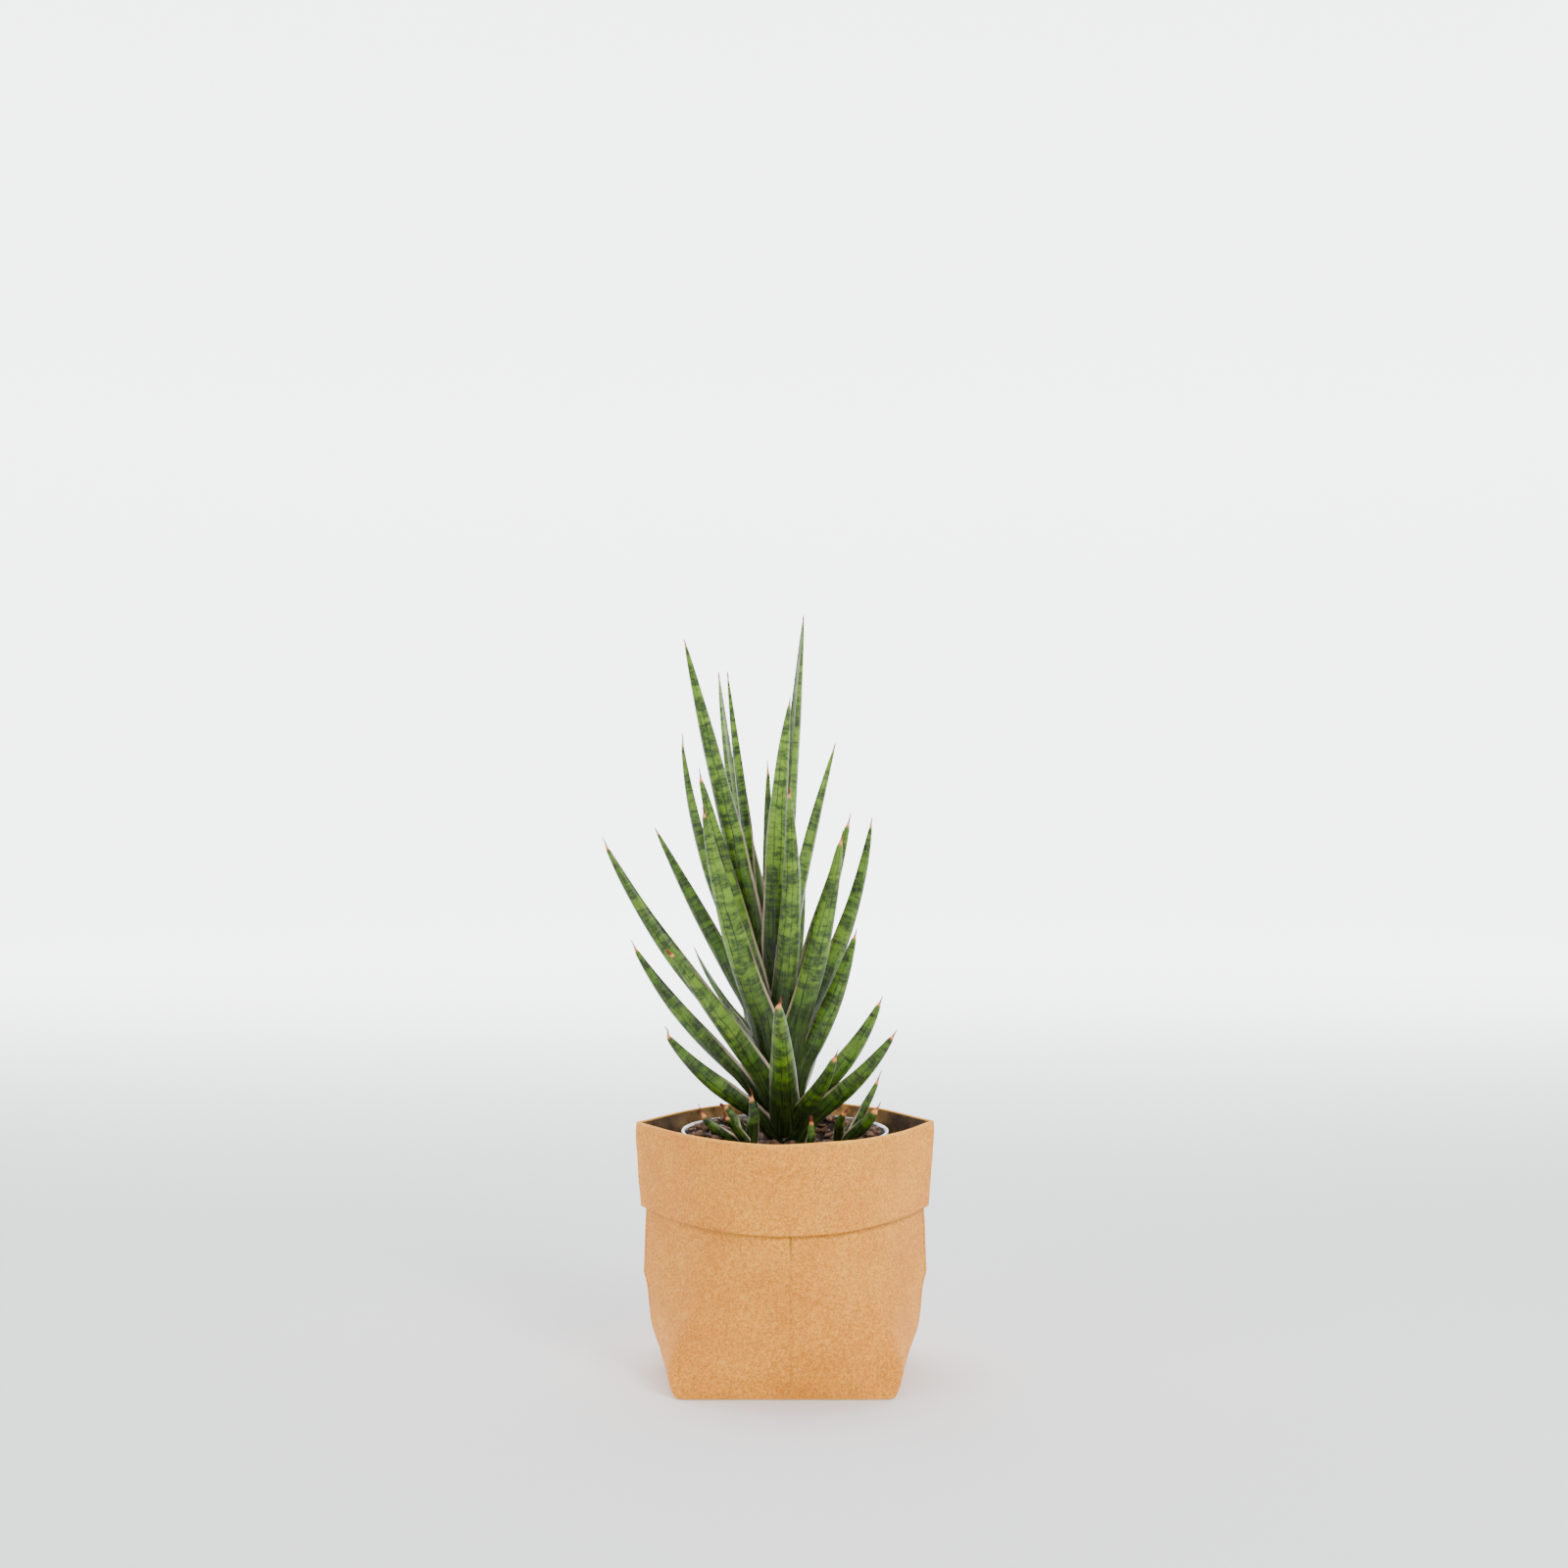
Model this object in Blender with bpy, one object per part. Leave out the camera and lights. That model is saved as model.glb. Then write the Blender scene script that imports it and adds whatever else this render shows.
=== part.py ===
"""A potted snake plant, built as separate solids in metres with +Z up.

A stemmed snake plant stands in soil in a thin grow pot. The pot sits on a drip
saucer inside a soft paper bag with a boxed base and a turned-down cuff.
The origin is the middle of the bag's flat bottom, on the surface it stands on.
Seen from the front, +X is to the right and +Y goes away from the viewer.
"""
import math

import bmesh
import bpy
import numpy as np

MM = 0.001
GAP = 0.3 * MM                      # clearance between neighbouring pieces

# Paper bag: a boxed rectangle at the bottom, two bowed sides above the side folds
PAPER = 1.0 * MM
BAG_HEIGHT = 144 * MM
BASE_HALF_WIDTH = 60.5 * MM
BASE_HALF_DEPTH = 63.5 * MM
BASE_CORNER = 6 * MM
FOLD_HEIGHT = 56 * MM               # top of the triangular side folds of the boxed base
CUFF_BOTTOM = 94.5 * MM
CUFF_SLACK = 0.6 * MM               # air between the wall and the cuff at the rim
CUFF_FLARE = 1.0 * MM               # how much further the cuff stands off at its edge
WALL_HEIGHTS = (FOLD_HEIGHT, CUFF_BOTTOM, BAG_HEIGHT)
WALL_HALF_WIDTHS = (82 * MM, 80.3 * MM, 84.7 * MM)
WALL_HALF_DEPTHS = (79 * MM, 81.5 * MM, 80.5 * MM)
WALL_ROUNDNESS = (2.3, 2.3, 2.05)   # power of the bowed sides: 2 is a parabola
WALL_BULGE = (0.11, 0.02)           # fullness of the wall below the side folds, along X and Y
BULGE_PEAK = 6.75                   # makes the peak of r (1 - r)^2 equal to 1
LOWER_ROWS = (0, 14 * MM, 28 * MM, 42 * MM, FOLD_HEIGHT, 75 * MM)
UPPER_ROW = 120 * MM
QUARTER_COLUMNS = 16
PAPER_CREASE = 25                   # degrees above which an edge of the bag stays sharp
CREASE = 40                         # the same for every other piece

# Grow pot, 12 cm nursery size, and the saucer under it
SAUCER_RADIUS = 52 * MM
SAUCER_HEIGHT = 7 * MM
SAUCER_WALL = 1.2 * MM
SAUCER_SLOPE = 3 * MM               # how much narrower it is at its foot
POT_RIM_RADIUS = 60 * MM
POT_RIM_TOP = 138.7 * MM
POT_BASE_RADIUS = 43 * MM
POT_WALL = 1.2 * MM
LIP_WIDTH = 2.2 * MM
LIP_DEPTH = 7 * MM
LIP_BEVEL = 1 * MM                  # at the rim's outer edge
LIP_FALL = 0.4 * MM                 # from the rim's top to its inner edge
DRAIN_RADIUS = 4 * MM
DRAIN_RING = 29 * MM
DRAIN_COUNT = 6
SOIL_TOP = 130 * MM
SOIL_ROUGHNESS = 1.1 * MM
SOIL_DROP = 2 * MM                  # how far the soil falls at the pot's wall
SOIL_RINGS = (50 * MM, 40 * MM, 30 * MM, 20 * MM, 11 * MM)
SOIL_WAVES = ((1 / 9, 0, 0.7), (0, 1 / 7, 2.1), (1 / 12, 1 / 12, 4.0))   # x, y in mm, phase
ROUND_SIDES = 48

# Stem: it leans a little to the left as it rises
STEM_BOTTOM = 100 * MM
STEM_TOP = 250 * MM
STEM_FOOT_X = 1 * MM
STEM_LEAN = -0.079                  # sideways travel for each metre of height
STEM_RADIUS = 6.2 * MM
STEM_TOP_RADIUS = 3 * MM
PUP_RADIUS = 3.4 * MM
PUP_TOP = 139 * MM
RHIZOME_RADIUS = 4.2 * MM
RHIZOME_HEIGHT = 109 * MM
LEFT_PUP = (-20 * MM, -20 * MM)
RIGHT_PUP = (31 * MM, -12 * MM)
STEM_SIDES = 12
TUBE_DOME = 0.4                     # height of a tube's end over its radius
PUP_BENDS = (118 * MM, 128 * MM)    # heights between which a pup narrows
RHIZOME_SAG = (0, -3 * MM, -2 * MM)   # how its middle is bent, along X, Y and Z
SIDE_GUIDE = (0.31, 0.95, 0.05)     # any direction that no tube runs along

# Leaves: narrow at the stem, widest a third of the way up, needle-fine at the tip
LEAF_DEPTH_SHARE = 0.72             # thickness over width
LEAF_NECK_SHARE = 0.30              # width at the stem over full width
LEAF_NECK_LENGTH = 30 * MM
LEAF_STANDOFF = 1.2 * MM            # from the stem's skin to the middle of a leaf's root
LEAF_TIP_WIDTH = 0.7 * MM
LEAF_TAPER = 0.78
LEAF_SECTION_SIDES = 8
LEAF_BACK_SHARE = 0.75              # share of the thickness on the rounded back
LEAF_STATIONS = (0, 0.07, 0.16, 0.28, 0.42, 0.57, 0.72, 0.86, 0.95, 1)

# One row for each leaf, in millimetres: name, what it grows from, height of its
# root, its tip (x, y, z), how far its curve bows outwards, how far it sways
# sideways, and its width.
LEAVES = (
    ("tallest_leaf", "stem", 238, (11, 20, 437), 12, 11, 13),
    ("tall_left_leaf", "stem", 236, (-58, -6, 421), 2, -2, 13),
    ("inner_left_leaf", "stem", 244, (-34, 24, 404), 9, -6, 10),
    ("thin_left_leaf", "stem", 230, (-40, 52, 405), 14, 0, 8),
    ("inner_right_leaf", "stem", 228, (3, -12, 387), 5, -13, 13.5),
    ("centre_thin_leaf", "stem", 249, (-10, 40, 352), 14, 1, 6),
    ("upper_left_leaf", "stem", 216, (-62, 44, 368), 22, 3, 11.5),
    ("upper_right_leaf", "stem", 222, (30, 34, 362), 3, 10, 12),
    ("broad_left_leaf", "stem", 205, (-50, -12, 347), 4, 2, 13.5),
    ("front_right_leaf", "stem", 198, (2, -36, 336), 15, 6, 13.5),
    ("front_left_leaf", "stem", 186, (-46, -50, 325), 13, 2, 15.5),
    ("mid_right_back_leaf", "stem", 200, (38, 0, 321), 5, 0, 12.5),
    ("outer_right_leaf", "stem", 188, (51, 18, 318), 17, -1, 13),
    ("mid_right_leaf", "stem", 180, (32, -42, 312), 12, -2, 14),
    ("outer_left_leaf", "stem", 192, (-77, 30, 312), 4, -3, 13),
    ("far_left_leaf", "stem", 176, (-107, 10, 307), 16, 0, 12),
    ("mid_low_right_leaf", "stem", 165, (41, -14, 255), 8, -1, 13.5),
    ("lower_left_leaf", "stem", 158, (-91, 16, 247), 15, 0, 12),
    ("lower_front_left_leaf", "stem", 160, (-65, -50, 246), 2, 6, 13.5),
    ("small_back_left_leaf", "stem", 184, (-55, 60, 239), 13, 0, 6.5),
    ("front_centre_leaf", "stem", 152, (-4, -70, 221), 9, 2, 16),
    ("low_right_leaf", "stem", 150, (56, -8, 216), 12, 0, 12.5),
    ("lowest_right_leaf", "stem", 142, (63, -30, 199), 11, 1, 12),
    ("lowest_left_leaf", "stem", 146, (-70, -22, 199), 12, -1, 12),
    ("small_front_right_leaf", "stem", 146, (29, -50, 191), 10, 3, 9.5),
    ("back_high_leaf", "stem", 222, (-6, 64, 318), 12, 0, 10),
    ("back_mid_leaf", "stem", 208, (-22, 70, 300), 12, 0, 12),
    ("back_right_leaf", "stem", 194, (12, 70, 282), 12, 0, 13),
    ("back_low_leaf", "stem", 172, (-6, 88, 262), 12, 0, 13),
    ("back_lower_left_leaf", "stem", 155, (-27, 74, 213), 10, 0, 12),
    ("back_lower_right_leaf", "stem", 150, (24, 66, 200), 9, 0, 12),
    ("back_bottom_leaf", "stem", 143, (2, 60, 172), 6, 0, 10),
    ("small_right_leaf", "right_pup", 137, (56, -6, 173), 2, 0, 7.5),
    ("ground_right_leaf", "right_pup", 136, (53, -30, 158), 6, 1, 8),
    ("orange_tip_leaf", "right_pup", 137, (35, -38, 156), 1, -5, 5),
    ("ground_left_leaf", "left_pup", 137, (-50, -20, 156), 10, 0, 6.5),
    ("cut_tip_leaf", "left_pup", 137, (-37, -10, 155), -4, -3, 8),
    ("curled_tip_leaf", "left_pup", 139, (-22, -26, 165), 0, 8, 7.5),
    ("pup_front_leaf", "left_pup", 136, (-35, -40, 154), 1, 1, 5),
)


# ---------------------------------------------------------------- scene and materials

def clear_scene():
    for obj in list(bpy.data.objects):
        bpy.data.objects.remove(obj, do_unlink=True)


def make_material(name, colour, roughness, transmission=0.0):
    material = bpy.data.materials.new(name)
    material.use_nodes = True
    shader = material.node_tree.nodes["Principled BSDF"]
    shader.inputs["Base Color"].default_value = (*colour, 1)
    shader.inputs["Roughness"].default_value = roughness
    shader.inputs["Metallic"].default_value = 0
    shader.inputs["Transmission Weight"].default_value = transmission
    return material


# ---------------------------------------------------------------- mesh helpers

def add_solid(name, points, faces, material, smooth_angle=CREASE):
    """Make one closed object from points and faces, with its faces turned outwards."""
    mesh = bpy.data.meshes.new(name)
    mesh.from_pydata([tuple(point) for point in points], [], faces)
    work = bmesh.new()
    work.from_mesh(mesh)
    bmesh.ops.recalc_face_normals(work, faces=work.faces)
    if work.calc_volume(signed=True) < 0:
        bmesh.ops.reverse_faces(work, faces=work.faces)
    work.to_mesh(mesh)
    work.free()
    mesh.shade_smooth()
    mesh.set_sharp_from_angle(angle=math.radians(smooth_angle))
    mesh.materials.append(material)
    obj = bpy.data.objects.new(name, mesh)
    bpy.context.collection.objects.link(obj)
    return obj


def closed_grid(rings, start, end):
    """Join rings of equal length into a tube, closed by one point at each end."""
    count = len(rings[0])
    points = [tuple(point) for ring in rings for point in ring] + [tuple(start), tuple(end)]
    first, last = len(points) - 2, len(points) - 1
    faces = []
    for row in range(len(rings) - 1):
        for column in range(count):
            following = (column + 1) % count
            faces.append((row * count + column, row * count + following,
                          (row + 1) * count + following, (row + 1) * count + column))
    top = (len(rings) - 1) * count
    for column in range(count):
        following = (column + 1) % count
        faces.append((first, following, column))
        faces.append((last, top + column, top + following))
    return points, faces


def turned_solid(name, profile, material, sides=ROUND_SIDES, lift=None):
    """Turn a profile of (radius, height) points, from axis to axis, about Z.

    lift(x, y, row) adds to a point's height, for an uneven top.
    """
    turns = np.linspace(0, 2 * math.pi, sides, endpoint=False)
    rings = []
    for row, (radius, height) in enumerate(profile[1:-1], start=1):
        ring = np.stack([radius * np.cos(turns), radius * np.sin(turns),
                         np.full(sides, height)], axis=1)
        if lift:
            ring[:, 2] += lift(ring[:, 0], ring[:, 1], row)
        rings.append(ring)
    ends = [np.array([0, 0, profile[0][1]]), np.array([0, 0, profile[-1][1]])]
    if lift:
        ends[0][2] += lift(0, 0, 0)
        ends[1][2] += lift(0, 0, len(profile) - 1)
    return add_solid(name, *closed_grid(rings, *ends), material)


def tube_solid(name, path, radii, material, sides=STEM_SIDES):
    """A round tube through the path's points, with domed ends."""
    path = np.asarray(path, dtype=float)
    tangents = np.gradient(path, axis=0)
    tangents /= np.linalg.norm(tangents, axis=1)[:, None]
    side = np.cross(tangents[0], SIDE_GUIDE)
    turns = np.linspace(0, 2 * math.pi, sides, endpoint=False)
    rings = []
    for point, tangent, radius in zip(path, tangents, radii):
        side = side - tangent * side.dot(tangent)
        side /= np.linalg.norm(side)
        other = np.cross(tangent, side)
        rings.append(point + radius * (np.outer(np.cos(turns), side)
                                       + np.outer(np.sin(turns), other)))
    start = path[0] - tangents[0] * radii[0] * TUBE_DOME
    end = path[-1] + tangents[-1] * radii[-1] * TUBE_DOME
    return add_solid(name, *closed_grid(rings, start, end), material)


def apply_boolean(obj, tool, operation):
    """Apply an exact Boolean to obj and remove the tool."""
    modifier = obj.modifiers.new(operation.lower(), "BOOLEAN")
    modifier.operation = operation
    modifier.solver = "EXACT"
    modifier.object = tool
    bpy.context.view_layer.update()
    depsgraph = bpy.context.evaluated_depsgraph_get()
    result = bpy.data.meshes.new_from_object(obj.evaluated_get(depsgraph))
    obj.modifiers.remove(modifier)
    obj.data = result
    bpy.data.objects.remove(tool, do_unlink=True)


# ---------------------------------------------------------------- paper bag

def equal_steps(points, count):
    """Resample an open line to count points at equal distances, without its last point."""
    steps = np.linalg.norm(np.diff(points, axis=0), axis=1)
    along = np.concatenate([[0], np.cumsum(steps)])
    wanted = np.linspace(0, along[-1], count + 1)[:-1]
    return np.stack([np.interp(wanted, along, points[:, axis]) for axis in (0, 1)], axis=1)


def mirrored_outline(quarter):
    """Close an outline from its first quarter, which runs from +X to +Y."""
    half = np.concatenate([equal_steps(quarter, QUARTER_COLUMNS),
                           equal_steps(quarter[::-1] * (-1, 1), QUARTER_COLUMNS)])
    return np.concatenate([half, -half])


def boxed_outline():
    """The rounded rectangle that the bag stands on."""
    turns = np.linspace(0, math.pi / 2, 9)
    centre = np.array([BASE_HALF_WIDTH - BASE_CORNER, BASE_HALF_DEPTH - BASE_CORNER])
    corner = centre + BASE_CORNER * np.stack([np.cos(turns), np.sin(turns)], axis=1)
    return mirrored_outline(np.vstack([(BASE_HALF_WIDTH, 0), corner, (0, BASE_HALF_DEPTH)]))


def bowed_outline(height):
    """Two bowed sides that meet in a fold at each end: y = depth (1 - (x / width)^power)."""
    width = np.interp(height, WALL_HEIGHTS, WALL_HALF_WIDTHS)
    depth = np.interp(height, WALL_HEIGHTS, WALL_HALF_DEPTHS)
    power = np.interp(height, WALL_HEIGHTS, WALL_ROUNDNESS)
    share = np.sin(np.linspace(math.pi / 2, 0, 200))
    return mirrored_outline(np.stack([width * share, depth * (1 - share ** power)], axis=1))


def bag_ring(offset, height):
    """The bag's outline at a height, moved outwards by offset."""
    rise = min(height / FOLD_HEIGHT, 1)
    outline = boxed_outline() * (1 - rise) + bowed_outline(max(height, FOLD_HEIGHT)) * rise
    outline *= 1 + BULGE_PEAK * rise * (1 - rise) ** 2 * np.array(WALL_BULGE)
    edges = np.roll(outline, -1, axis=0) - outline
    outwards = np.stack([edges[:, 1], -edges[:, 0]], axis=1)
    outwards /= np.linalg.norm(outwards, axis=1)[:, None]
    before = np.roll(outwards, 1, axis=0)
    mitre = (outwards + before) / (1 + (outwards * before).sum(axis=1))[:, None]
    flat = outline + mitre * offset
    return np.column_stack([flat, np.full(len(flat), height)])


def build_bag(material):
    """One sheet: base, walls and the cuff that is turned down over them."""
    lower = list(LOWER_ROWS)
    cuff_offset = PAPER + CUFF_SLACK
    bend = (cuff_offset + PAPER) / 2          # radius of the fold's outside
    bend_top = BAG_HEIGHT - bend
    cuff_heights = np.linspace(bend_top, CUFF_BOTTOM, 5)
    flare = np.linspace(0, CUFF_FLARE, 5)
    inside = [PAPER] + lower[1:] + [CUFF_BOTTOM, UPPER_ROW, bend_top]
    rows = [(-PAPER, height) for height in inside]
    for turn in np.linspace(math.pi, 0, 5)[1:-1]:
        rows.append((cuff_offset - bend + bend * math.cos(turn), bend_top + bend * math.sin(turn)))
    rows += [(cuff_offset + spread, height) for spread, height in zip(flare, cuff_heights)]
    rows += [(cuff_offset - PAPER + spread, height)
             for spread, height in zip(flare[::-1], cuff_heights[::-1])]
    rows += [(0, height) for height in [bend_top - GAP, UPPER_ROW, CUFF_BOTTOM] + lower[::-1]]
    rings = [bag_ring(offset, height) for offset, height in rows]
    points, faces = closed_grid(rings, (0, 0, PAPER), (0, 0, 0))
    return add_solid("paper_bag", points, faces, material, smooth_angle=PAPER_CREASE)


# ---------------------------------------------------------------- saucer, pot and soil

def build_saucer(material):
    foot = PAPER + GAP
    floor = foot + SAUCER_WALL
    top = foot + SAUCER_HEIGHT
    profile = [(0, foot), (SAUCER_RADIUS - SAUCER_SLOPE, foot), (SAUCER_RADIUS, top),
               (SAUCER_RADIUS - SAUCER_WALL, top),
               (SAUCER_RADIUS - SAUCER_SLOPE - SAUCER_WALL, floor), (0, floor)]
    return turned_solid("drip_saucer", profile, material)


def pot_foot():
    return PAPER + GAP + SAUCER_WALL + GAP


def pot_inner_radius(height):
    """Radius of the pot's inner wall, which widens evenly towards the rim."""
    share = (height - pot_foot()) / (POT_RIM_TOP - pot_foot())
    base = POT_BASE_RADIUS - POT_WALL
    return base + share * (POT_RIM_RADIUS - LIP_WIDTH - POT_WALL - base)


def build_pot(material):
    foot = pot_foot()
    floor = foot + POT_WALL
    lip_bottom = POT_RIM_TOP - LIP_DEPTH
    profile = [(0, foot), (POT_BASE_RADIUS, foot),
               (pot_inner_radius(lip_bottom) + POT_WALL, lip_bottom),
               (POT_RIM_RADIUS, lip_bottom), (POT_RIM_RADIUS, POT_RIM_TOP - LIP_BEVEL),
               (POT_RIM_RADIUS - LIP_BEVEL, POT_RIM_TOP),
               (pot_inner_radius(POT_RIM_TOP), POT_RIM_TOP - LIP_FALL),
               (pot_inner_radius(floor), floor), (0, floor)]
    pot = turned_solid("grow_pot", profile, material)
    for turn in np.linspace(0, 2 * math.pi, DRAIN_COUNT, endpoint=False):
        x, y = DRAIN_RING * math.cos(turn), DRAIN_RING * math.sin(turn)
        bore = [(x, y, foot - POT_WALL), (x, y, floor + POT_WALL)]
        cutter = tube_solid("drain_cutter", bore, [DRAIN_RADIUS] * 2, material)
        apply_boolean(pot, cutter, "DIFFERENCE")
    return pot


def soil_lift(x, y, row):
    """Low mounds on the soil's top rows only: a sum of three waves."""
    if row < 3:
        return 0 * x
    waves = sum(np.sin((along_x * x + along_y * y) / MM + phase)
                for along_x, along_y, phase in SOIL_WAVES)
    return SOIL_ROUGHNESS * waves / 2


def build_soil(material):
    bottom = pot_foot() + POT_WALL + GAP
    edge = SOIL_TOP - SOIL_DROP
    profile = [(0, bottom), (pot_inner_radius(bottom) - GAP, bottom),
               (pot_inner_radius(edge) - GAP, edge)]
    profile += [(radius, SOIL_TOP) for radius in SOIL_RINGS]
    profile += [(0, SOIL_TOP)]
    soil = turned_solid("soil", profile, material, lift=soil_lift)
    for number, (path, radii) in enumerate(stem_tubes(GAP)):
        apply_boolean(soil, tube_solid(f"socket_{number}", path, radii, material), "DIFFERENCE")
    return soil


# ---------------------------------------------------------------- stem and leaves

def stem_axis(height):
    """The middle of the stem at a height: a straight lean above the soil."""
    return np.array([STEM_FOOT_X + STEM_LEAN * (height - SOIL_TOP), 0, height])


def stem_radius(height):
    share = np.clip((height - SOIL_TOP) / (STEM_TOP - SOIL_TOP), 0, 1)
    return STEM_RADIUS + share * (STEM_TOP_RADIUS - STEM_RADIUS)


def pup_centre(name, height):
    x, y = LEFT_PUP if name == "left_pup" else RIGHT_PUP
    return np.array([x, y, height])


def stem_tubes(extra):
    """Paths and radii of the stem, the rhizome and the two pup stems, widened by extra."""
    heights = np.linspace(STEM_BOTTOM, STEM_TOP, 9)
    tubes = [([stem_axis(height) for height in heights],
              [stem_radius(height) + extra for height in heights])]
    foot = stem_axis(RHIZOME_HEIGHT)
    for name in ("left_pup", "right_pup"):
        middle = (pup_centre(name, RHIZOME_HEIGHT) + foot) / 2 + RHIZOME_SAG
        heights = (RHIZOME_HEIGHT, *PUP_BENDS, PUP_TOP)
        path = [foot, middle] + [pup_centre(name, height) for height in heights]
        radii = [RHIZOME_RADIUS] * 3 + [PUP_RADIUS] * 3
        tubes.append((path, [radius + extra for radius in radii]))
    return tubes


def build_stem(material):
    """Stem, rhizome and pup stems grew as one piece."""
    solids = [tube_solid(f"stem_{number}", path, radii, material)
              for number, (path, radii) in enumerate(stem_tubes(0))]
    stem = solids[0]
    for branch in solids[1:]:
        apply_boolean(stem, branch, "UNION")
    stem.name = "stem_and_rhizome"
    return stem


def leaf_curve(grows_from, root_height, tip, bow, sway):
    """Three control points of a leaf's middle line, and its sideways direction."""
    tip = np.array(tip) * MM
    height = root_height * MM
    if grows_from == "stem":
        centre, radius = stem_axis(height), stem_radius(height)
    else:
        centre, radius = pup_centre(grows_from, height), PUP_RADIUS
    outwards = (tip - centre) * (1, 1, 0)
    outwards /= np.linalg.norm(outwards)
    sideways = np.array([-outwards[1], outwards[0], 0])
    root = centre + outwards * (radius + LEAF_STANDOFF)
    along = (tip - root) / np.linalg.norm(tip - root)
    below = outwards - along * outwards.dot(along)
    below /= np.linalg.norm(below)
    middle = (root + tip) / 2 + below * bow * MM + sideways * sway * MM
    return root, middle, tip, sideways


def leaf_width(share, full_width, length):
    """Width at a share of the length: fine at the tip, full low down, a neck at the root."""
    taper = math.sin(math.pi / 2 * (1 - share) ** LEAF_TAPER)
    neck = min(share * length / LEAF_NECK_LENGTH, 1)
    neck = LEAF_NECK_SHARE + (1 - LEAF_NECK_SHARE) * neck * neck * (3 - 2 * neck)
    return max(full_width * taper * neck, LEAF_TIP_WIDTH)


def build_leaf(row, material):
    """A leaf swept along a curve: round at the back, nearly flat on the side facing up."""
    name, grows_from, root_height, tip, bow, sway, width = row
    root, middle, tip, sideways = leaf_curve(grows_from, root_height, tip, bow, sway)
    length = np.linalg.norm(tip - root)
    turns = np.linspace(0, 2 * math.pi, LEAF_SECTION_SIDES, endpoint=False)
    across = np.cos(turns) / 2
    face_share = np.where(np.sin(turns) > 0, 1 - LEAF_BACK_SHARE, LEAF_BACK_SHARE)
    through = np.sin(turns) * face_share
    rings = []
    for share in LEAF_STATIONS:
        rest = 1 - share
        point = rest * rest * root + 2 * share * rest * middle + share * share * tip
        tangent = rest * (middle - root) + share * (tip - middle)
        tangent /= np.linalg.norm(tangent)
        side = sideways - tangent * sideways.dot(tangent)
        side /= np.linalg.norm(side)
        face = np.cross(tangent, side)
        wide = leaf_width(share, width * MM, length)
        rings.append(point + wide * np.outer(across, side)
                     + wide * LEAF_DEPTH_SHARE * np.outer(through, face))
    points, faces = closed_grid(rings, rings[0].mean(axis=0), rings[-1].mean(axis=0))
    return add_solid(name, points, faces, material)


def build_plant():
    clear_scene()
    paper = make_material("kraft_paper", (0.73, 0.44, 0.19), 0.85)
    white_plastic = make_material("white_plastic", (0.85, 0.86, 0.85), 0.35)
    clear_plastic = make_material("clear_plastic", (0.9, 0.92, 0.92), 0.15, 0.6)
    earth = make_material("potting_soil", (0.05, 0.03, 0.02), 0.95)
    stem_skin = make_material("stem_skin", (0.30, 0.33, 0.16), 0.6)
    leaf_skin = make_material("leaf_skin", (0.05, 0.14, 0.04), 0.4)
    build_bag(paper)
    build_saucer(clear_plastic)
    build_pot(white_plastic)
    build_soil(earth)
    build_stem(stem_skin)
    for row in LEAVES:
        build_leaf(row, leaf_skin)


build_plant()
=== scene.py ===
import math

import bmesh
import bpy
import numpy as np
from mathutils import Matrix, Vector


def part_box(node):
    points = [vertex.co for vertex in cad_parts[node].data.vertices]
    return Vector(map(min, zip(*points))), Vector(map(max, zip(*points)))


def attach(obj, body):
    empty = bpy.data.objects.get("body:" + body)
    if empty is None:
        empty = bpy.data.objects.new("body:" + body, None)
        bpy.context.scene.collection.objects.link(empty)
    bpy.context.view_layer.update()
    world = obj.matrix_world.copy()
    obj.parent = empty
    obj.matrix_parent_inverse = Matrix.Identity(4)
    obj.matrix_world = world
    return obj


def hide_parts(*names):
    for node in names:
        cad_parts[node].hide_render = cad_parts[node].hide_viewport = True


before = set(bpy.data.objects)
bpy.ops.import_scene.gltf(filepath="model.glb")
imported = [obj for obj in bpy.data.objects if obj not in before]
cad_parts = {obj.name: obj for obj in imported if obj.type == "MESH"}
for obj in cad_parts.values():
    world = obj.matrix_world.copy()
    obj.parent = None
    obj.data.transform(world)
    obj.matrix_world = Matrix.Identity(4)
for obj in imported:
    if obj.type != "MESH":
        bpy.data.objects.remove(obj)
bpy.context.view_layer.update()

# A potted snake plant: leaves on an upright stem, soil, a thin grow pot and a
# paper bag with a turned-down cuff. Metres, +Z up, the viewer looks along +Y.

MM = 0.001

# ---------------------------------------------------------------- shared dimensions

BAG_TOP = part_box("paper_bag")[1][2]
POT_LOW, POT_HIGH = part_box("grow_pot")
SAUCER_LOW, SAUCER_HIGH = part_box("drip_saucer")
SOIL_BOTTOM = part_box("soil")[0][2]

PAPER = 0.6 * MM                     # thickness of the washable paper
CAD_PAPER = 1 * MM                   # the frame's plain sheet is this thick
BASE_HALF_WIDTH = 60.5 * MM
BASE_HALF_DEPTH = 63.5 * MM
BASE_CORNER = 5 * MM
BASE_EDGE = 1.4 * MM                 # radius where the wall turns into the base
FOLD_HEIGHT = 56 * MM
CUFF_BOTTOM = 94.5 * MM
CUFF_SLACK = 0.7 * MM                # room between the wall and the cuff
CUFF_FLARE = 1.0 * MM                # how far the cuff's hem stands out further than its top
WALL_HEIGHTS = (FOLD_HEIGHT, CUFF_BOTTOM, BAG_TOP)
WALL_HALF_WIDTHS = (82 * MM, 80.3 * MM, 84.7 * MM)
WALL_HALF_DEPTHS = (79 * MM, 81.5 * MM, 80.5 * MM)
WALL_ROUNDNESS = (2.3, 2.3, 2.05)
WALL_BULGE = (0.11, 0.02)            # fullness of the lower wall along X and Y
BULGE_PEAK = 6.75                    # makes rise * (1 - rise)^2 reach 1
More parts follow.
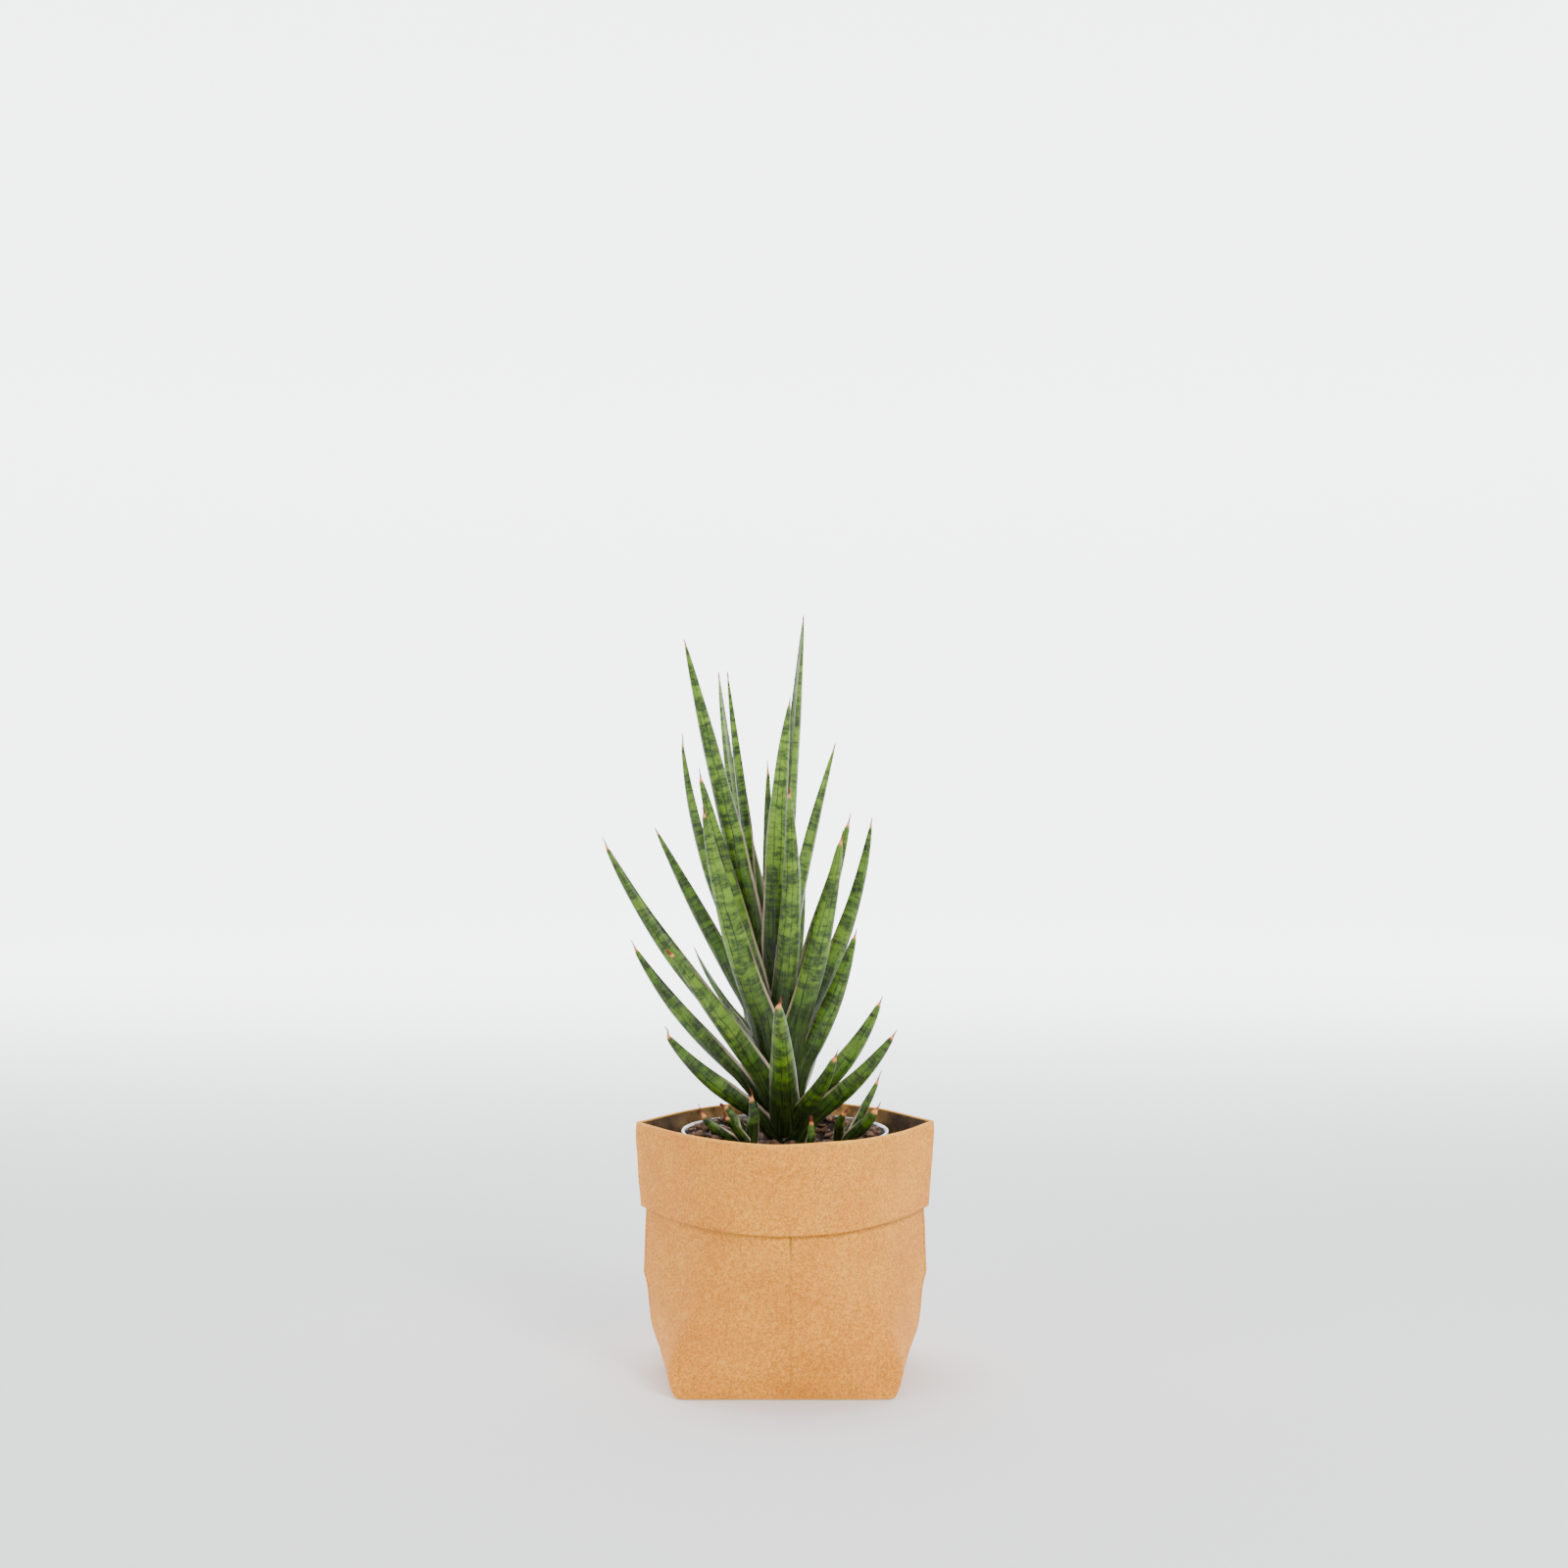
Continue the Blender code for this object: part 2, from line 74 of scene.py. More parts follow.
FRONT_SEAM_X = 3 * MM
SIDE_SEAM_Y = 2.6 * MM
SEAM_SPREAD = 5 * MM                 # stretch beside each seam that gets fine columns
QUARTER_LENGTH = 122 * MM            # about a quarter of the bag's way round
SEAM_COLUMNS = 15
PLAIN_COLUMNS = 58
WALL_ROWS = 72
LINING_ROWS = 66
CUFF_ROWS = 34
FLOOR_ROWS = 14

POT_FLOOR_RADIUS = 42.2 * MM         # inner radius at the pot's foot and at its rim
POT_MOUTH_RADIUS = 57.9 * MM
POT_WALL = 0.7 * MM
POT_LIP = 7 * MM
DRAINS = 6
DRAIN_CIRCLE = 29 * MM
DRAIN_RADIUS = 4 * MM
TURNED_SIDES = 144

SOIL_LEVEL = 130 * MM
SOIL_COLUMNS = 260
SOIL_ROWS = 90
STEM_FOOT_X = 1 * MM
STEM_LEAN = -0.079
STEM_BOTTOM = 100 * MM
STEM_TOP = 250 * MM
STEM_RADIUS = 6.2 * MM
STEM_TOP_RADIUS = 3 * MM
PUP_RADIUS = 3.4 * MM
LEFT_PUP = (-20 * MM, -20 * MM)
RIGHT_PUP = (31 * MM, -12 * MM)
STUMP_FOOT = (13 * MM, -33 * MM)

CAMERA_PLACE = (-0.0006, -1.258, 0.338)
LIGHT_TARGET = (0, 0, 0.2)
LIGHTS = (                           # name, place, width in metres, power in watts
    ("key_light", (0.9, -1.3, 1.5), 0.8, 34),
    ("fill_light", (-1.5, -1.0, 0.9), 0.9, 7),
    ("top_light", (-0.2, 0.2, 2.0), 1.0, 21),
    ("back_light", (-0.6, 1.8, 1.2), 1.2, 4),
)
FLOOR_SIDES = 96

# One row for each leaf, in millimetres: name, what it grows from, height of its
# root, its tip (x, y, z), how far its curve bows outwards, how far it sways
# sideways, its width, then its turn about its own length in degrees, its tone
# (0 dark, 1 light) and the kind of its tip.
LEAVES = (
    ("tallest_leaf", "stem", 238, (11, 20, 437), 12, 11, 14, -25, 0.8, "fine"),
    ("tall_left_leaf", "stem", 236, (-58, -6, 421), 2, -2, 14, 58, 0.85, "fine"),
    ("inner_left_leaf", "stem", 244, (-34, 24, 404), 9, -6, 12, 50, 0.7, "fine"),
    ("thin_left_leaf", "stem", 230, (-40, 52, 405), 14, 0, 12, 32, 1.0, "fine"),
    ("inner_right_leaf", "stem", 228, (3, -12, 387), 5, -13, 14.5, -12, 0.95, "fine"),
    ("centre_thin_leaf", "stem", 249, (-10, 40, 352), 14, 1, 7.5, 0, 0.4, "long"),
    ("upper_left_leaf", "stem", 216, (-62, 44, 368), 22, 3, 13.5, 52, 0.55, "long"),
    ("upper_right_leaf", "stem", 222, (30, 34, 362), 3, 10, 14, -52, 0.75, "fine"),
    ("broad_left_leaf", "stem", 205, (-50, -12, 347), 4, 2, 14.5, 38, 0.6, "long"),
    ("front_right_leaf", "stem", 198, (2, -36, 336), 15, 6, 14.5, 0, 0.75, "orange"),
    ("front_left_leaf", "stem", 186, (-46, -50, 325), 13, 2, 17, 14, 0.85, "orange"),
    ("mid_right_back_leaf", "stem", 200, (38, 0, 321), 5, 0, 14, -45, 0.35, "long"),
    ("outer_right_leaf", "stem", 188, (51, 18, 318), 17, -1, 14.5, -48, 0.5, "red"),
    ("mid_right_leaf", "stem", 180, (32, -42, 312), 12, -2, 15.5, -22, 0.6, "long"),
    ("outer_left_leaf", "stem", 192, (-77, 30, 312), 4, -3, 15, 45, 0.3, "fine"),
    ("far_left_leaf", "stem", 176, (-107, 10, 307), 16, 0, 14, 52, 0.45, "long"),
    ("mid_low_right_leaf", "stem", 165, (41, -14, 255), 8, -1, 14.5, -46, 0.4, "red"),
    ("lower_left_leaf", "stem", 158, (-91, 16, 247), 15, 0, 14, 50, 0.35, "long"),
    ("lower_front_left_leaf", "stem", 160, (-65, -50, 246), 2, 6, 15, 30, 0.5, "broken"),
    ("small_back_left_leaf", "stem", 184, (-55, 60, 239), 13, 0, 8, 30, 0.1, "fine"),
    ("front_centre_leaf", "stem", 152, (-4, -70, 221), 9, 2, 16.5, 0, 0.4, "hooked"),
    ("low_right_leaf", "stem", 150, (56, -8, 216), 12, 0, 14, -46, 0.3, "red"),
    ("lowest_right_leaf", "stem", 142, (63, -30, 199), 11, 1, 13.5, -36, 0.2, "red"),
    ("lowest_left_leaf", "stem", 146, (-70, -22, 199), 12, -1, 14, 36, 0.25, "hooked"),
    ("small_front_right_leaf", "stem", 146, (29, -50, 191), 10, 3, 11, -24, 0.3, "long"),
    ("back_high_leaf", "stem", 222, (-6, 64, 318), 12, 0, 10, 0, 0.6, "long"),
    ("back_mid_leaf", "stem", 208, (-22, 70, 300), 12, 0, 12, 10, 0.6, "fine"),
    ("back_right_leaf", "stem", 194, (12, 70, 282), 12, 0, 13, -10, 0.5, "red"),
    ("back_low_leaf", "stem", 172, (-6, 88, 262), 12, 0, 13, 0, 0.5, "orange"),
    ("back_lower_left_leaf", "stem", 155, (-27, 74, 213), 10, 0, 12, 5, 0.35, "long"),
    ("back_lower_right_leaf", "stem", 150, (24, 66, 200), 9, 0, 12, -5, 0.3, "fine"),
    ("back_bottom_leaf", "stem", 143, (2, 60, 172), 6, 0, 10, 0, 0.2, "hooked"),
    ("small_right_leaf", "right_pup", 137, (56, -6, 173), 2, 0, 8, -30, 0.15, "long"),
    ("ground_right_leaf", "right_pup", 136, (53, -30, 158), 6, 1, 9.5, -30, 0.1, "hooked"),
    ("orange_tip_leaf", "right_pup", 137, (35, -38, 156), 1, -5, 6, -10, 0.2, "orange"),
    ("ground_left_leaf", "left_pup", 137, (-50, -20, 156), 10, 0, 8.5, 35, 0.2, "long"),
    ("cut_tip_leaf", "left_pup", 137, (-37, -10, 155), -4, -3, 9.5, 30, 0.25, "broken"),
    ("curled_tip_leaf", "left_pup", 139, (-22, -26, 165), 0, 8, 7.5, 0, 0.08, "hooked"),
    ("pup_front_leaf", "left_pup", 136, (-35, -40, 154), 1, 1, 6.5, 10, 0.1, "orange"),
)

# A dry stump of a broken leaf in front of the stem, in the same columns.
STUMP = ("broken_stump", "stump", 135, (15, -38, 152), 0, 0, 5, 0, 0.3, "broken")


# ---------------------------------------------------------------- numbers and meshes

def smooth(value, low, high):
    """A smooth step: 0 below low, 1 above high, 3t^2 - 2t^3 between them."""
    share = np.clip((value - low) / (high - low), 0, 1)
    return share * share * (3 - 2 * share)


def ripples(points, wavelength, seed, count=14):
    """A soft random field: the sum of plane waves of one length in random directions."""
    random = np.random.default_rng(seed)
    directions = random.normal(size=(count, 3))
    directions /= np.linalg.norm(directions, axis=1)[:, None]
    directions *= 2 * math.pi / wavelength * random.uniform(0.7, 1.3, (count, 1))
    phases = random.uniform(0, 2 * math.pi, count)
    return np.cos(points @ directions.T + phases).sum(axis=-1) / math.sqrt(count / 2)


def grid_faces(rows, columns, wrap=True):
    """Quads between neighbouring rows of a grid, joined round its columns if wrap."""
    row, column = np.meshgrid(np.arange(rows - 1), np.arange(columns - (0 if wrap else 1)),
                              indexing="ij")
    following = (column + 1) % columns
    quads = np.stack([row * columns + column, row * columns + following,
                      (row + 1) * columns + following, (row + 1) * columns + column], axis=-1)
    return quads.reshape(-1, 4)


def make_piece(name, points, quads, triangles, material, body="root"):
    """One mesh object from arrays of points, quads and triangles; it rides on body."""
    mesh = bpy.data.meshes.new(name)
    loops = np.concatenate([quads.ravel(), triangles.ravel()]).astype(np.int32)
    sizes = np.concatenate([np.full(len(quads), 4), np.full(len(triangles), 3)])
    mesh.vertices.add(len(points))
    mesh.vertices.foreach_set("co", points.astype(np.float32).ravel())
    mesh.loops.add(len(loops))
    mesh.loops.foreach_set("vertex_index", loops)
    mesh.polygons.add(len(sizes))
    starts = np.concatenate([[0], np.cumsum(sizes)[:-1]]).astype(np.int32)
    mesh.polygons.foreach_set("loop_start", starts)
    mesh.update(calc_edges=True)
    mesh.validate()
    turn_outwards(mesh)
    mesh.shade_smooth()
    mesh.materials.append(material)
    piece = bpy.data.objects.new(name, mesh)
    bpy.context.collection.objects.link(piece)
    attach(piece, body)
    return piece


def turn_outwards(mesh):
    """Recalculate the faces of a closed mesh so that they all point outwards."""
    work = bmesh.new()
    work.from_mesh(mesh)
    bmesh.ops.recalc_face_normals(work, faces=work.faces)
    if work.calc_volume(signed=True) < 0:
        bmesh.ops.reverse_faces(work, faces=work.faces)
    work.to_mesh(mesh)
    work.free()


def closed_tube(rings, start, end):
    """Points, quads and triangles of rings (rows, columns, 3) closed by a point at each end."""
    rows, columns = rings.shape[:2]
    points = np.vstack([rings.reshape(-1, 3), start, end])
    column = np.arange(columns)
    following = (column + 1) % columns
    last_row = (rows - 1) * columns
    first = np.stack([following, column, np.full(columns, rows * columns)], axis=1)
    last = np.stack([last_row + column, last_row + following,
                     np.full(columns, rows * columns + 1)], axis=1)
    return points, grid_faces(rows, columns), np.vstack([first, last])


def store(piece, name, values):
    """Keep one number for each point of the piece, for its material to read."""
    layer = piece.data.attributes.new(name, "FLOAT", "POINT")
    layer.data.foreach_set("value", np.asarray(values, dtype=np.float32).ravel())


def turned(name, profile, material):
    """A profile of (radius, height) points turned about Z: x = r cos t, y = r sin t."""
    profile = np.asarray(profile, dtype=float)
    turns = np.linspace(0, 2 * math.pi, TURNED_SIDES, endpoint=False)
    inner = profile[1:-1]
    rings = np.stack([inner[:, :1] * np.cos(turns), inner[:, :1] * np.sin(turns),
                      np.repeat(inner[:, 1:], TURNED_SIDES, axis=1)], axis=-1)
    ends = (0, 0, profile[0][1]), (0, 0, profile[-1][1])
    return make_piece(name, *closed_tube(rings, *ends), material)


# ---------------------------------------------------------------- material helpers

def linear(red, green, blue):
    """Screen colour from 0 to 255 as the linear colour that shaders use."""
    values = np.array([red, green, blue]) / 255
    bright = ((values + 0.055) / 1.055) ** 2.4
    return tuple(float(v) for v in np.where(values <= 0.04045, values / 12.92, bright))


def add_node(tree, kind, inputs=None, **settings):
    """Add a node; inputs maps socket names or numbers to values or other sockets."""
    node = tree.nodes.new(kind)
    for key, value in settings.items():
        setattr(node, key, value)
    for key, value in (inputs or {}).items():
        if isinstance(value, bpy.types.NodeSocket):
            tree.links.new(value, node.inputs[key])
        else:
            node.inputs[key].default_value = value
    return node


def calc(tree, operation, first, second=0.0, third=0.0, clamp=False):
    """The result of one Math node."""
    return add_node(tree, "ShaderNodeMath", {0: first, 1: second, 2: third},
                    operation=operation, use_clamp=clamp).outputs[0]


def step(tree, value, low, high, low_value=0.0, high_value=1.0):
    """A smooth map from low..high to low_value..high_value."""
    return add_node(tree, "ShaderNodeMapRange",
                    {"Value": value, "From Min": low, "From Max": high,
                     "To Min": low_value, "To Max": high_value},
                    interpolation_type="SMOOTHSTEP").outputs["Result"]


def blend_colours(tree, share, first, second, mode="MIX"):
    """Mix two colours or colour sockets."""
    node = tree.nodes.new("ShaderNodeMix")
    node.data_type = "RGBA"
    node.blend_type = mode
    for index, value in ((0, share), (6, first), (7, second)):
        if isinstance(value, bpy.types.NodeSocket):
            tree.links.new(value, node.inputs[index])
        else:
            node.inputs[index].default_value = value if index == 0 else (*value, 1)
    return node.outputs[2]


def attribute(tree, name):
    """The number that a piece keeps under this name."""
    return add_node(tree, "ShaderNodeAttribute", attribute_name=name).outputs["Fac"]


def tint(tree, colour, mask, strength, target):
    """Mix a colour towards a target screen colour by a mask times a strength."""
    return blend_colours(tree, calc(tree, "MULTIPLY", mask, strength), colour, linear(*target))


def mottle_group():
    """Soft spots of a given size: noise, turned into a mask between two levels."""
    group = bpy.data.node_groups.new("mottle", "ShaderNodeTree")
    for name, kind, value in (("Vector", "NodeSocketVector", None), ("Scale", "NodeSocketFloat", 100),
                              ("Detail", "NodeSocketFloat", 2), ("Low", "NodeSocketFloat", 0.4),
                              ("High", "NodeSocketFloat", 0.6)):
        socket = group.interface.new_socket(name=name, in_out="INPUT", socket_type=kind)
        if value is not None:
            socket.default_value = value
    group.interface.new_socket(name="Mask", in_out="OUTPUT", socket_type="NodeSocketFloat")
    given = group.nodes.new("NodeGroupInput")
    result = group.nodes.new("NodeGroupOutput")
    noise = add_node(group, "ShaderNodeTexNoise",
                     {"Vector": given.outputs["Vector"], "Scale": given.outputs["Scale"],
                      "Detail": given.outputs["Detail"], "Roughness": 0.55})
    mask = step(group, noise.outputs["Fac"], given.outputs["Low"], given.outputs["High"])
    group.links.new(mask, result.inputs["Mask"])
    return group


MOTTLE = mottle_group()


def mottle(tree, vector, scale, low=0.4, high=0.6, detail=2.0):
    """Place the shared mottle group and return its mask."""
    node = add_node(tree, "ShaderNodeGroup", node_tree=MOTTLE)
    for key, value in (("Scale", scale), ("Low", low), ("High", high), ("Detail", detail)):
        node.inputs[key].default_value = value
    tree.links.new(vector, node.inputs["Vector"])
    return node.outputs["Mask"]


def new_material(name):
    """A node material: returns it with its tree, its shader and its Object coordinates."""
    material = bpy.data.materials.new(name)
    material.use_nodes = True
    tree = material.node_tree
    place = add_node(tree, "ShaderNodeTexCoord").outputs["Object"]
    return material, tree, tree.nodes["Principled BSDF"], place


def wire(tree, socket, shader, name):
    """Feed one socket to the shader's input of this name."""
    tree.links.new(socket, shader.inputs[name])


def bumped(tree, shader, height, distance, strength=1.0):
    """Feed a height in shares of distance (metres) to the shader's normal."""
    bump = add_node(tree, "ShaderNodeBump", {"Height": height, "Distance": distance,
                                             "Strength": strength})
    wire(tree, bump.outputs["Normal"], shader, "Normal")


# ---------------------------------------------------------------- materials

def leaf_material():
    """Waxy leaf: light and dark cross bands, dark lines on the back, pale margin, dry tip; painted
    shade towards the root and in the channel, and pale streaks of painted sheen.
    """
    material, tree, shader, _ = new_material("banded_leaf")
    across = attribute(tree, "across")          # -1 to 1 from margin to margin
    span = attribute(tree, "span")              # metres across from the middle
    along = attribute(tree, "along")            # metres from the root
    channel = attribute(tree, "channel")        # 0 on the back, 1 in the channel
    tone = attribute(tree, "tone")
    edge = attribute(tree, "edge")
    dryness = attribute(tree, "dryness")
    reach = attribute(tree, "reach")
    lot = attribute(tree, "lot")                # a different number for each leaf
    skin = add_node(tree, "ShaderNodeCombineXYZ", {"X": span, "Y": along, "Z": lot}).outputs[0]
    stretched = add_node(tree, "ShaderNodeCombineXYZ",
                         {"X": calc(tree, "MULTIPLY", span, 0.5), "Y": along, "Z": lot}).outputs[0]
    striped = add_node(tree, "ShaderNodeCombineXYZ",
                       {"X": span, "Y": calc(tree, "MULTIPLY", along, 0.05), "Z": lot}).outputs[0]

    green = blend_colours(tree, tone, linear(36, 71, 7), linear(108, 147, 36))
    root_green = blend_colours(tree, tone, linear(22, 60, 3), linear(64, 111, 7))
    green = blend_colours(tree, step(tree, reach, 0.0, 0.55, 0.85, 0.0), green, root_green)
    # Painted shade: the channel is tinted darker, as its hollow lies in shade.
    green = tint(tree, green, channel, 0.45, (30, 58, 22))
    patches = mottle(tree, skin, 90, 0.35, 0.7)
    green = tint(tree, green, patches, 0.4, (112, 142, 26))

    bands = mottle(tree, stretched, 150, 0.43, 0.55, 4)
    speckle = mottle(tree, stretched, 620, 0.36, 0.60, 3)
    dark = calc(tree, "MULTIPLY", bands, calc(tree, "MULTIPLY_ADD", speckle, 0.5, 0.5))
    specks = mottle(tree, skin, 420, 0.54, 0.64, 3)
    dark = calc(tree, "MAXIMUM", dark, calc(tree, "MULTIPLY", specks, 0.6))
    dark = calc(tree, "MULTIPLY", dark, calc(tree, "MULTIPLY_ADD", channel, -0.25, 0.95))
    dark_green = blend_colours(tree, tone, linear(6, 16, 3), linear(24, 48, 15))
    colour = blend_colours(tree, dark, green, dark_green)
    shade = step(tree, reach, 0.04, 0.48, 0.92, 0.0)
    colour = blend_colours(tree, shade, colour, linear(6, 15, 3))

    wobble = mottle(tree, skin, 60, 0.2, 0.8)
    waves = calc(tree, "MULTIPLY_ADD", across, 5.5, calc(tree, "MULTIPLY", wobble, 0.9))
    lines = calc(tree, "ABSOLUTE", calc(tree, "SINE", waves))
    lines = step(tree, lines, 0.36, 0.08)
    lines = calc(tree, "MULTIPLY", lines, mottle(tree, striped, 420, 0.30, 0.52))
    lines = calc(tree, "MULTIPLY", lines, calc(tree, "SUBTRACT", 0.9, channel, clamp=True))
    colour = blend_colours(tree, lines, colour, linear(8, 18, 4))

    striations_and_painted_sheen = mottle(tree, striped, 1500, 0.35, 0.7)
    # Painted highlight: the fine streaks are tinted pale, standing in for a waxy sheen; the same
    # streaks also set roughness and bump.
    colour = tint(tree, colour, striations_and_painted_sheen, 0.12, (140, 172, 84))
    edge_colour = blend_colours(tree, step(tree, reach, 0.25, 0.75), linear(214, 190, 164),
                                linear(76, 74, 34))
    colour = blend_colours(tree, edge, colour, edge_colour)
    tip_colour = blend_colours(tree, step(tree, dryness, 0.45, 1.0), linear(236, 152, 88),
                               linear(112, 40, 26))
    colour = blend_colours(tree, step(tree, dryness, 0.02, 0.45), colour, tip_colour)
    wire(tree, colour, shader, "Base Color")

    rough = calc(tree, "MULTIPLY_ADD", striations_and_painted_sheen, 0.10, 0.36)
    rough = calc(tree, "ADD", rough, calc(tree, "MULTIPLY", dryness, 0.35, clamp=True))
    wire(tree, rough, shader, "Roughness")
    shader.inputs["Coat Weight"].default_value = 0.05
    shader.inputs["Specular IOR Level"].default_value = 0.28
    shader.inputs["Coat Roughness"].default_value = 0.28
    shader.inputs["Subsurface Weight"].default_value = 0.06
    shader.inputs["Subsurface Radius"].default_value = (0.0012, 0.002, 0.0006)
    height = calc(tree, "MULTIPLY_ADD", striations_and_painted_sheen, 0.6, calc(tree, "MULTIPLY", lines, -1.0))
    bumped(tree, shader, height, 0.12 * MM, 0.7)
    return material


def paper_material():
    """Washable kraft paper: granular tan outside, browner inside, paler on worn folds. Painted shade
    darkens the seams, the wall under the hem, blotches of the lining and its sides.
    """
    material, tree, shader, place = new_material("kraft_paper")
    inside = attribute(tree, "inside")
    fold = attribute(tree, "fold")
    clouds = mottle(tree, place, 26, 0.35, 0.68, 3)
    colour = blend_colours(tree, clouds, linear(246, 161, 42), linear(232, 143, 32))
    smears = mottle(tree, place, 75, 0.52, 0.75, 4)
    colour = tint(tree, colour, smears, 0.30, (214, 130, 36))
    grain = mottle(tree, place, 760, 0.34, 0.66, 4)
    felt = mottle(tree, place, 300, 0.40, 0.62, 4)
    colour = tint(tree, colour, felt, 0.30, (252, 184, 70))
    colour = tint(tree, colour, grain, 0.7, (172, 96, 26))
    flecks = mottle(tree, place, 1500, 0.60, 0.74, 1)
    colour = tint(tree, colour, flecks, 0.7, (255, 207, 112))
    worn = calc(tree, "MULTIPLY", fold, calc(tree, "MULTIPLY_ADD", clouds, -0.3, 0.6))
    colour = blend_colours(tree, worn, colour, linear(246, 182, 80))
    # Painted shade: darker along the seams, and a painted shadow just under the cuff's hem.
    colour = tint(tree, colour, attribute(tree, "seam"), 0.75, (112, 66, 26))
    # Painted shade: darker blotches on the lining stand in for shadow inside the bag.
    lining_shade_blotches = mottle(tree, place, 90, 0.38, 0.66, 4)
    lining = blend_colours(tree, lining_shade_blotches, linear(186, 140, 84), linear(118, 84, 48))
    # Painted shade: the lining darkens towards the bag's left and right sides, which lie in shadow.
    sides = calc(tree, "ABSOLUTE", add_node(tree, "ShaderNodeSeparateXYZ", {0: place}).outputs["X"])
    lining = blend_colours(tree, step(tree, sides, 0.045, 0.068, 0.0, 0.8), lining,
                           linear(40, 28, 18))
    colour = blend_colours(tree, inside, colour, lining)
    wire(tree, colour, shader, "Base Color")
    wire(tree, calc(tree, "MULTIPLY_ADD", grain, 0.16, 0.68), shader, "Roughness")
    shader.inputs["Specular IOR Level"].default_value = 0.25
    height = calc(tree, "MULTIPLY_ADD", smears, 0.8, calc(tree, "MULTIPLY", grain, 0.6))
    bumped(tree, shader, calc(tree, "ADD", height, calc(tree, "MULTIPLY", flecks, 0.3)), 0.16 * MM)
    return material


def plastic_material(name, colour, roughness, dirt):
    """Thin moulded plastic with faint scuffs, soil dust and a stain where soil touches it."""
    material, tree, shader, place = new_material(name)
    dust = mottle(tree, place, 180, 0.48, 0.72, 4)
    mixed = blend_colours(tree, calc(tree, "MULTIPLY", dust, dirt), colour, linear(96, 74, 52))
    stain = calc(tree, "MULTIPLY", attribute(tree, "stain"), 0.9)
    mixed = blend_colours(tree, stain, mixed, linear(58, 46, 36))
    wire(tree, mixed, shader, "Base Color")
    scuffs = mottle(tree, place, 700, 0.4, 0.7, 3)
    wire(tree, calc(tree, "MULTIPLY_ADD", scuffs, 0.14, roughness), shader, "Roughness")
    shader.inputs["Subsurface Weight"].default_value = 0.15
    shader.inputs["Subsurface Radius"].default_value = (0.002, 0.002, 0.002)
    shader.inputs["Coat Weight"].default_value = 0.3
    bumped(tree, shader, scuffs, 0.03 * MM)
    return material


def crumb_material(name, light, dark, scale, roughness=0.9):
    """Rough natural stuff: soil, bark or perlite, with grains of a given scale."""
    material, tree, shader, place = new_material(name)
    lumps = mottle(tree, place, scale, 0.35, 0.65, 4)
    pores = mottle(tree, place, scale * 4, 0.4, 0.6, 3)
    colour = blend_colours(tree, lumps, dark, light)
    colour = blend_colours(tree, calc(tree, "MULTIPLY", pores, 0.35), colour, dark)
    wire(tree, colour, shader, "Base Color")
    wire(tree, calc(tree, "MULTIPLY_ADD", pores, -0.1, roughness), shader, "Roughness")
    bumped(tree, shader, calc(tree, "ADD", lumps, pores), 0.35 * MM)
    return material


def stem_material():
    """Green stem under dry, papery leaf scars."""
    material, tree, shader, place = new_material("stem_skin")
    scars = attribute(tree, "scar")
    spots = mottle(tree, place, 260, 0.4, 0.65, 3)
    green = blend_colours(tree, spots, linear(96, 116, 52), linear(62, 84, 34))
    colour = blend_colours(tree, scars, green, linear(176, 150, 112))
    wire(tree, colour, shader, "Base Color")
    wire(tree, calc(tree, "MULTIPLY_ADD", scars, 0.3, 0.5), shader, "Roughness")
    bumped(tree, shader, spots, 0.15 * MM)
    return material


# ---------------------------------------------------------------- paper bag

def column_places():
    """Places round a quarter of the outline, from 0 to 1, finer beside both of its ends."""
    fine = SEAM_SPREAD / QUARTER_LENGTH
    first = np.linspace(0, fine, SEAM_COLUMNS, endpoint=False)
    middle = np.linspace(fine, 1 - fine, PLAIN_COLUMNS, endpoint=False)
    return np.concatenate([first, middle, 1 - first[::-1] - fine / SEAM_COLUMNS])


def resample(line, places):
    """Points of an open line at given shares of its length, by linear steps."""
    steps = np.linalg.norm(np.diff(line, axis=0), axis=1)
    along = np.concatenate([[0], np.cumsum(steps)])
    wanted = places * along[-1]
    return np.stack([np.interp(wanted, along, line[:, axis]) for axis in (0, 1)], axis=1)


def whole_outline(quarter):
    """Mirror a quarter that runs from +X to +Y into the whole closed outline."""
    places = column_places()
    half = np.concatenate([resample(quarter, places), resample(quarter[::-1] * (-1, 1), places)])
    return np.concatenate([half, -half])


def boxed_outline():
    """The rounded rectangle that the bag stands on."""
    turns = np.linspace(0, math.pi / 2, 13)
    centre = np.array([BASE_HALF_WIDTH - BASE_CORNER, BASE_HALF_DEPTH - BASE_CORNER])
    corner = centre + BASE_CORNER * np.stack([np.cos(turns), np.sin(turns)], axis=1)
    return whole_outline(np.vstack([(BASE_HALF_WIDTH, 0), corner, (0, BASE_HALF_DEPTH)]))


def bowed_outline(height):
    """Two bowed sides that meet in a fold at each end: y = depth (1 - (x / width)^power)."""
    width = np.interp(height, WALL_HEIGHTS, WALL_HALF_WIDTHS)
    depth = np.interp(height, WALL_HEIGHTS, WALL_HALF_DEPTHS)
    power = np.interp(height, WALL_HEIGHTS, WALL_ROUNDNESS)
    share = np.sin(np.linspace(math.pi / 2, 0, 400))
    return whole_outline(np.stack([width * share, depth * (1 - share ** power)], axis=1))


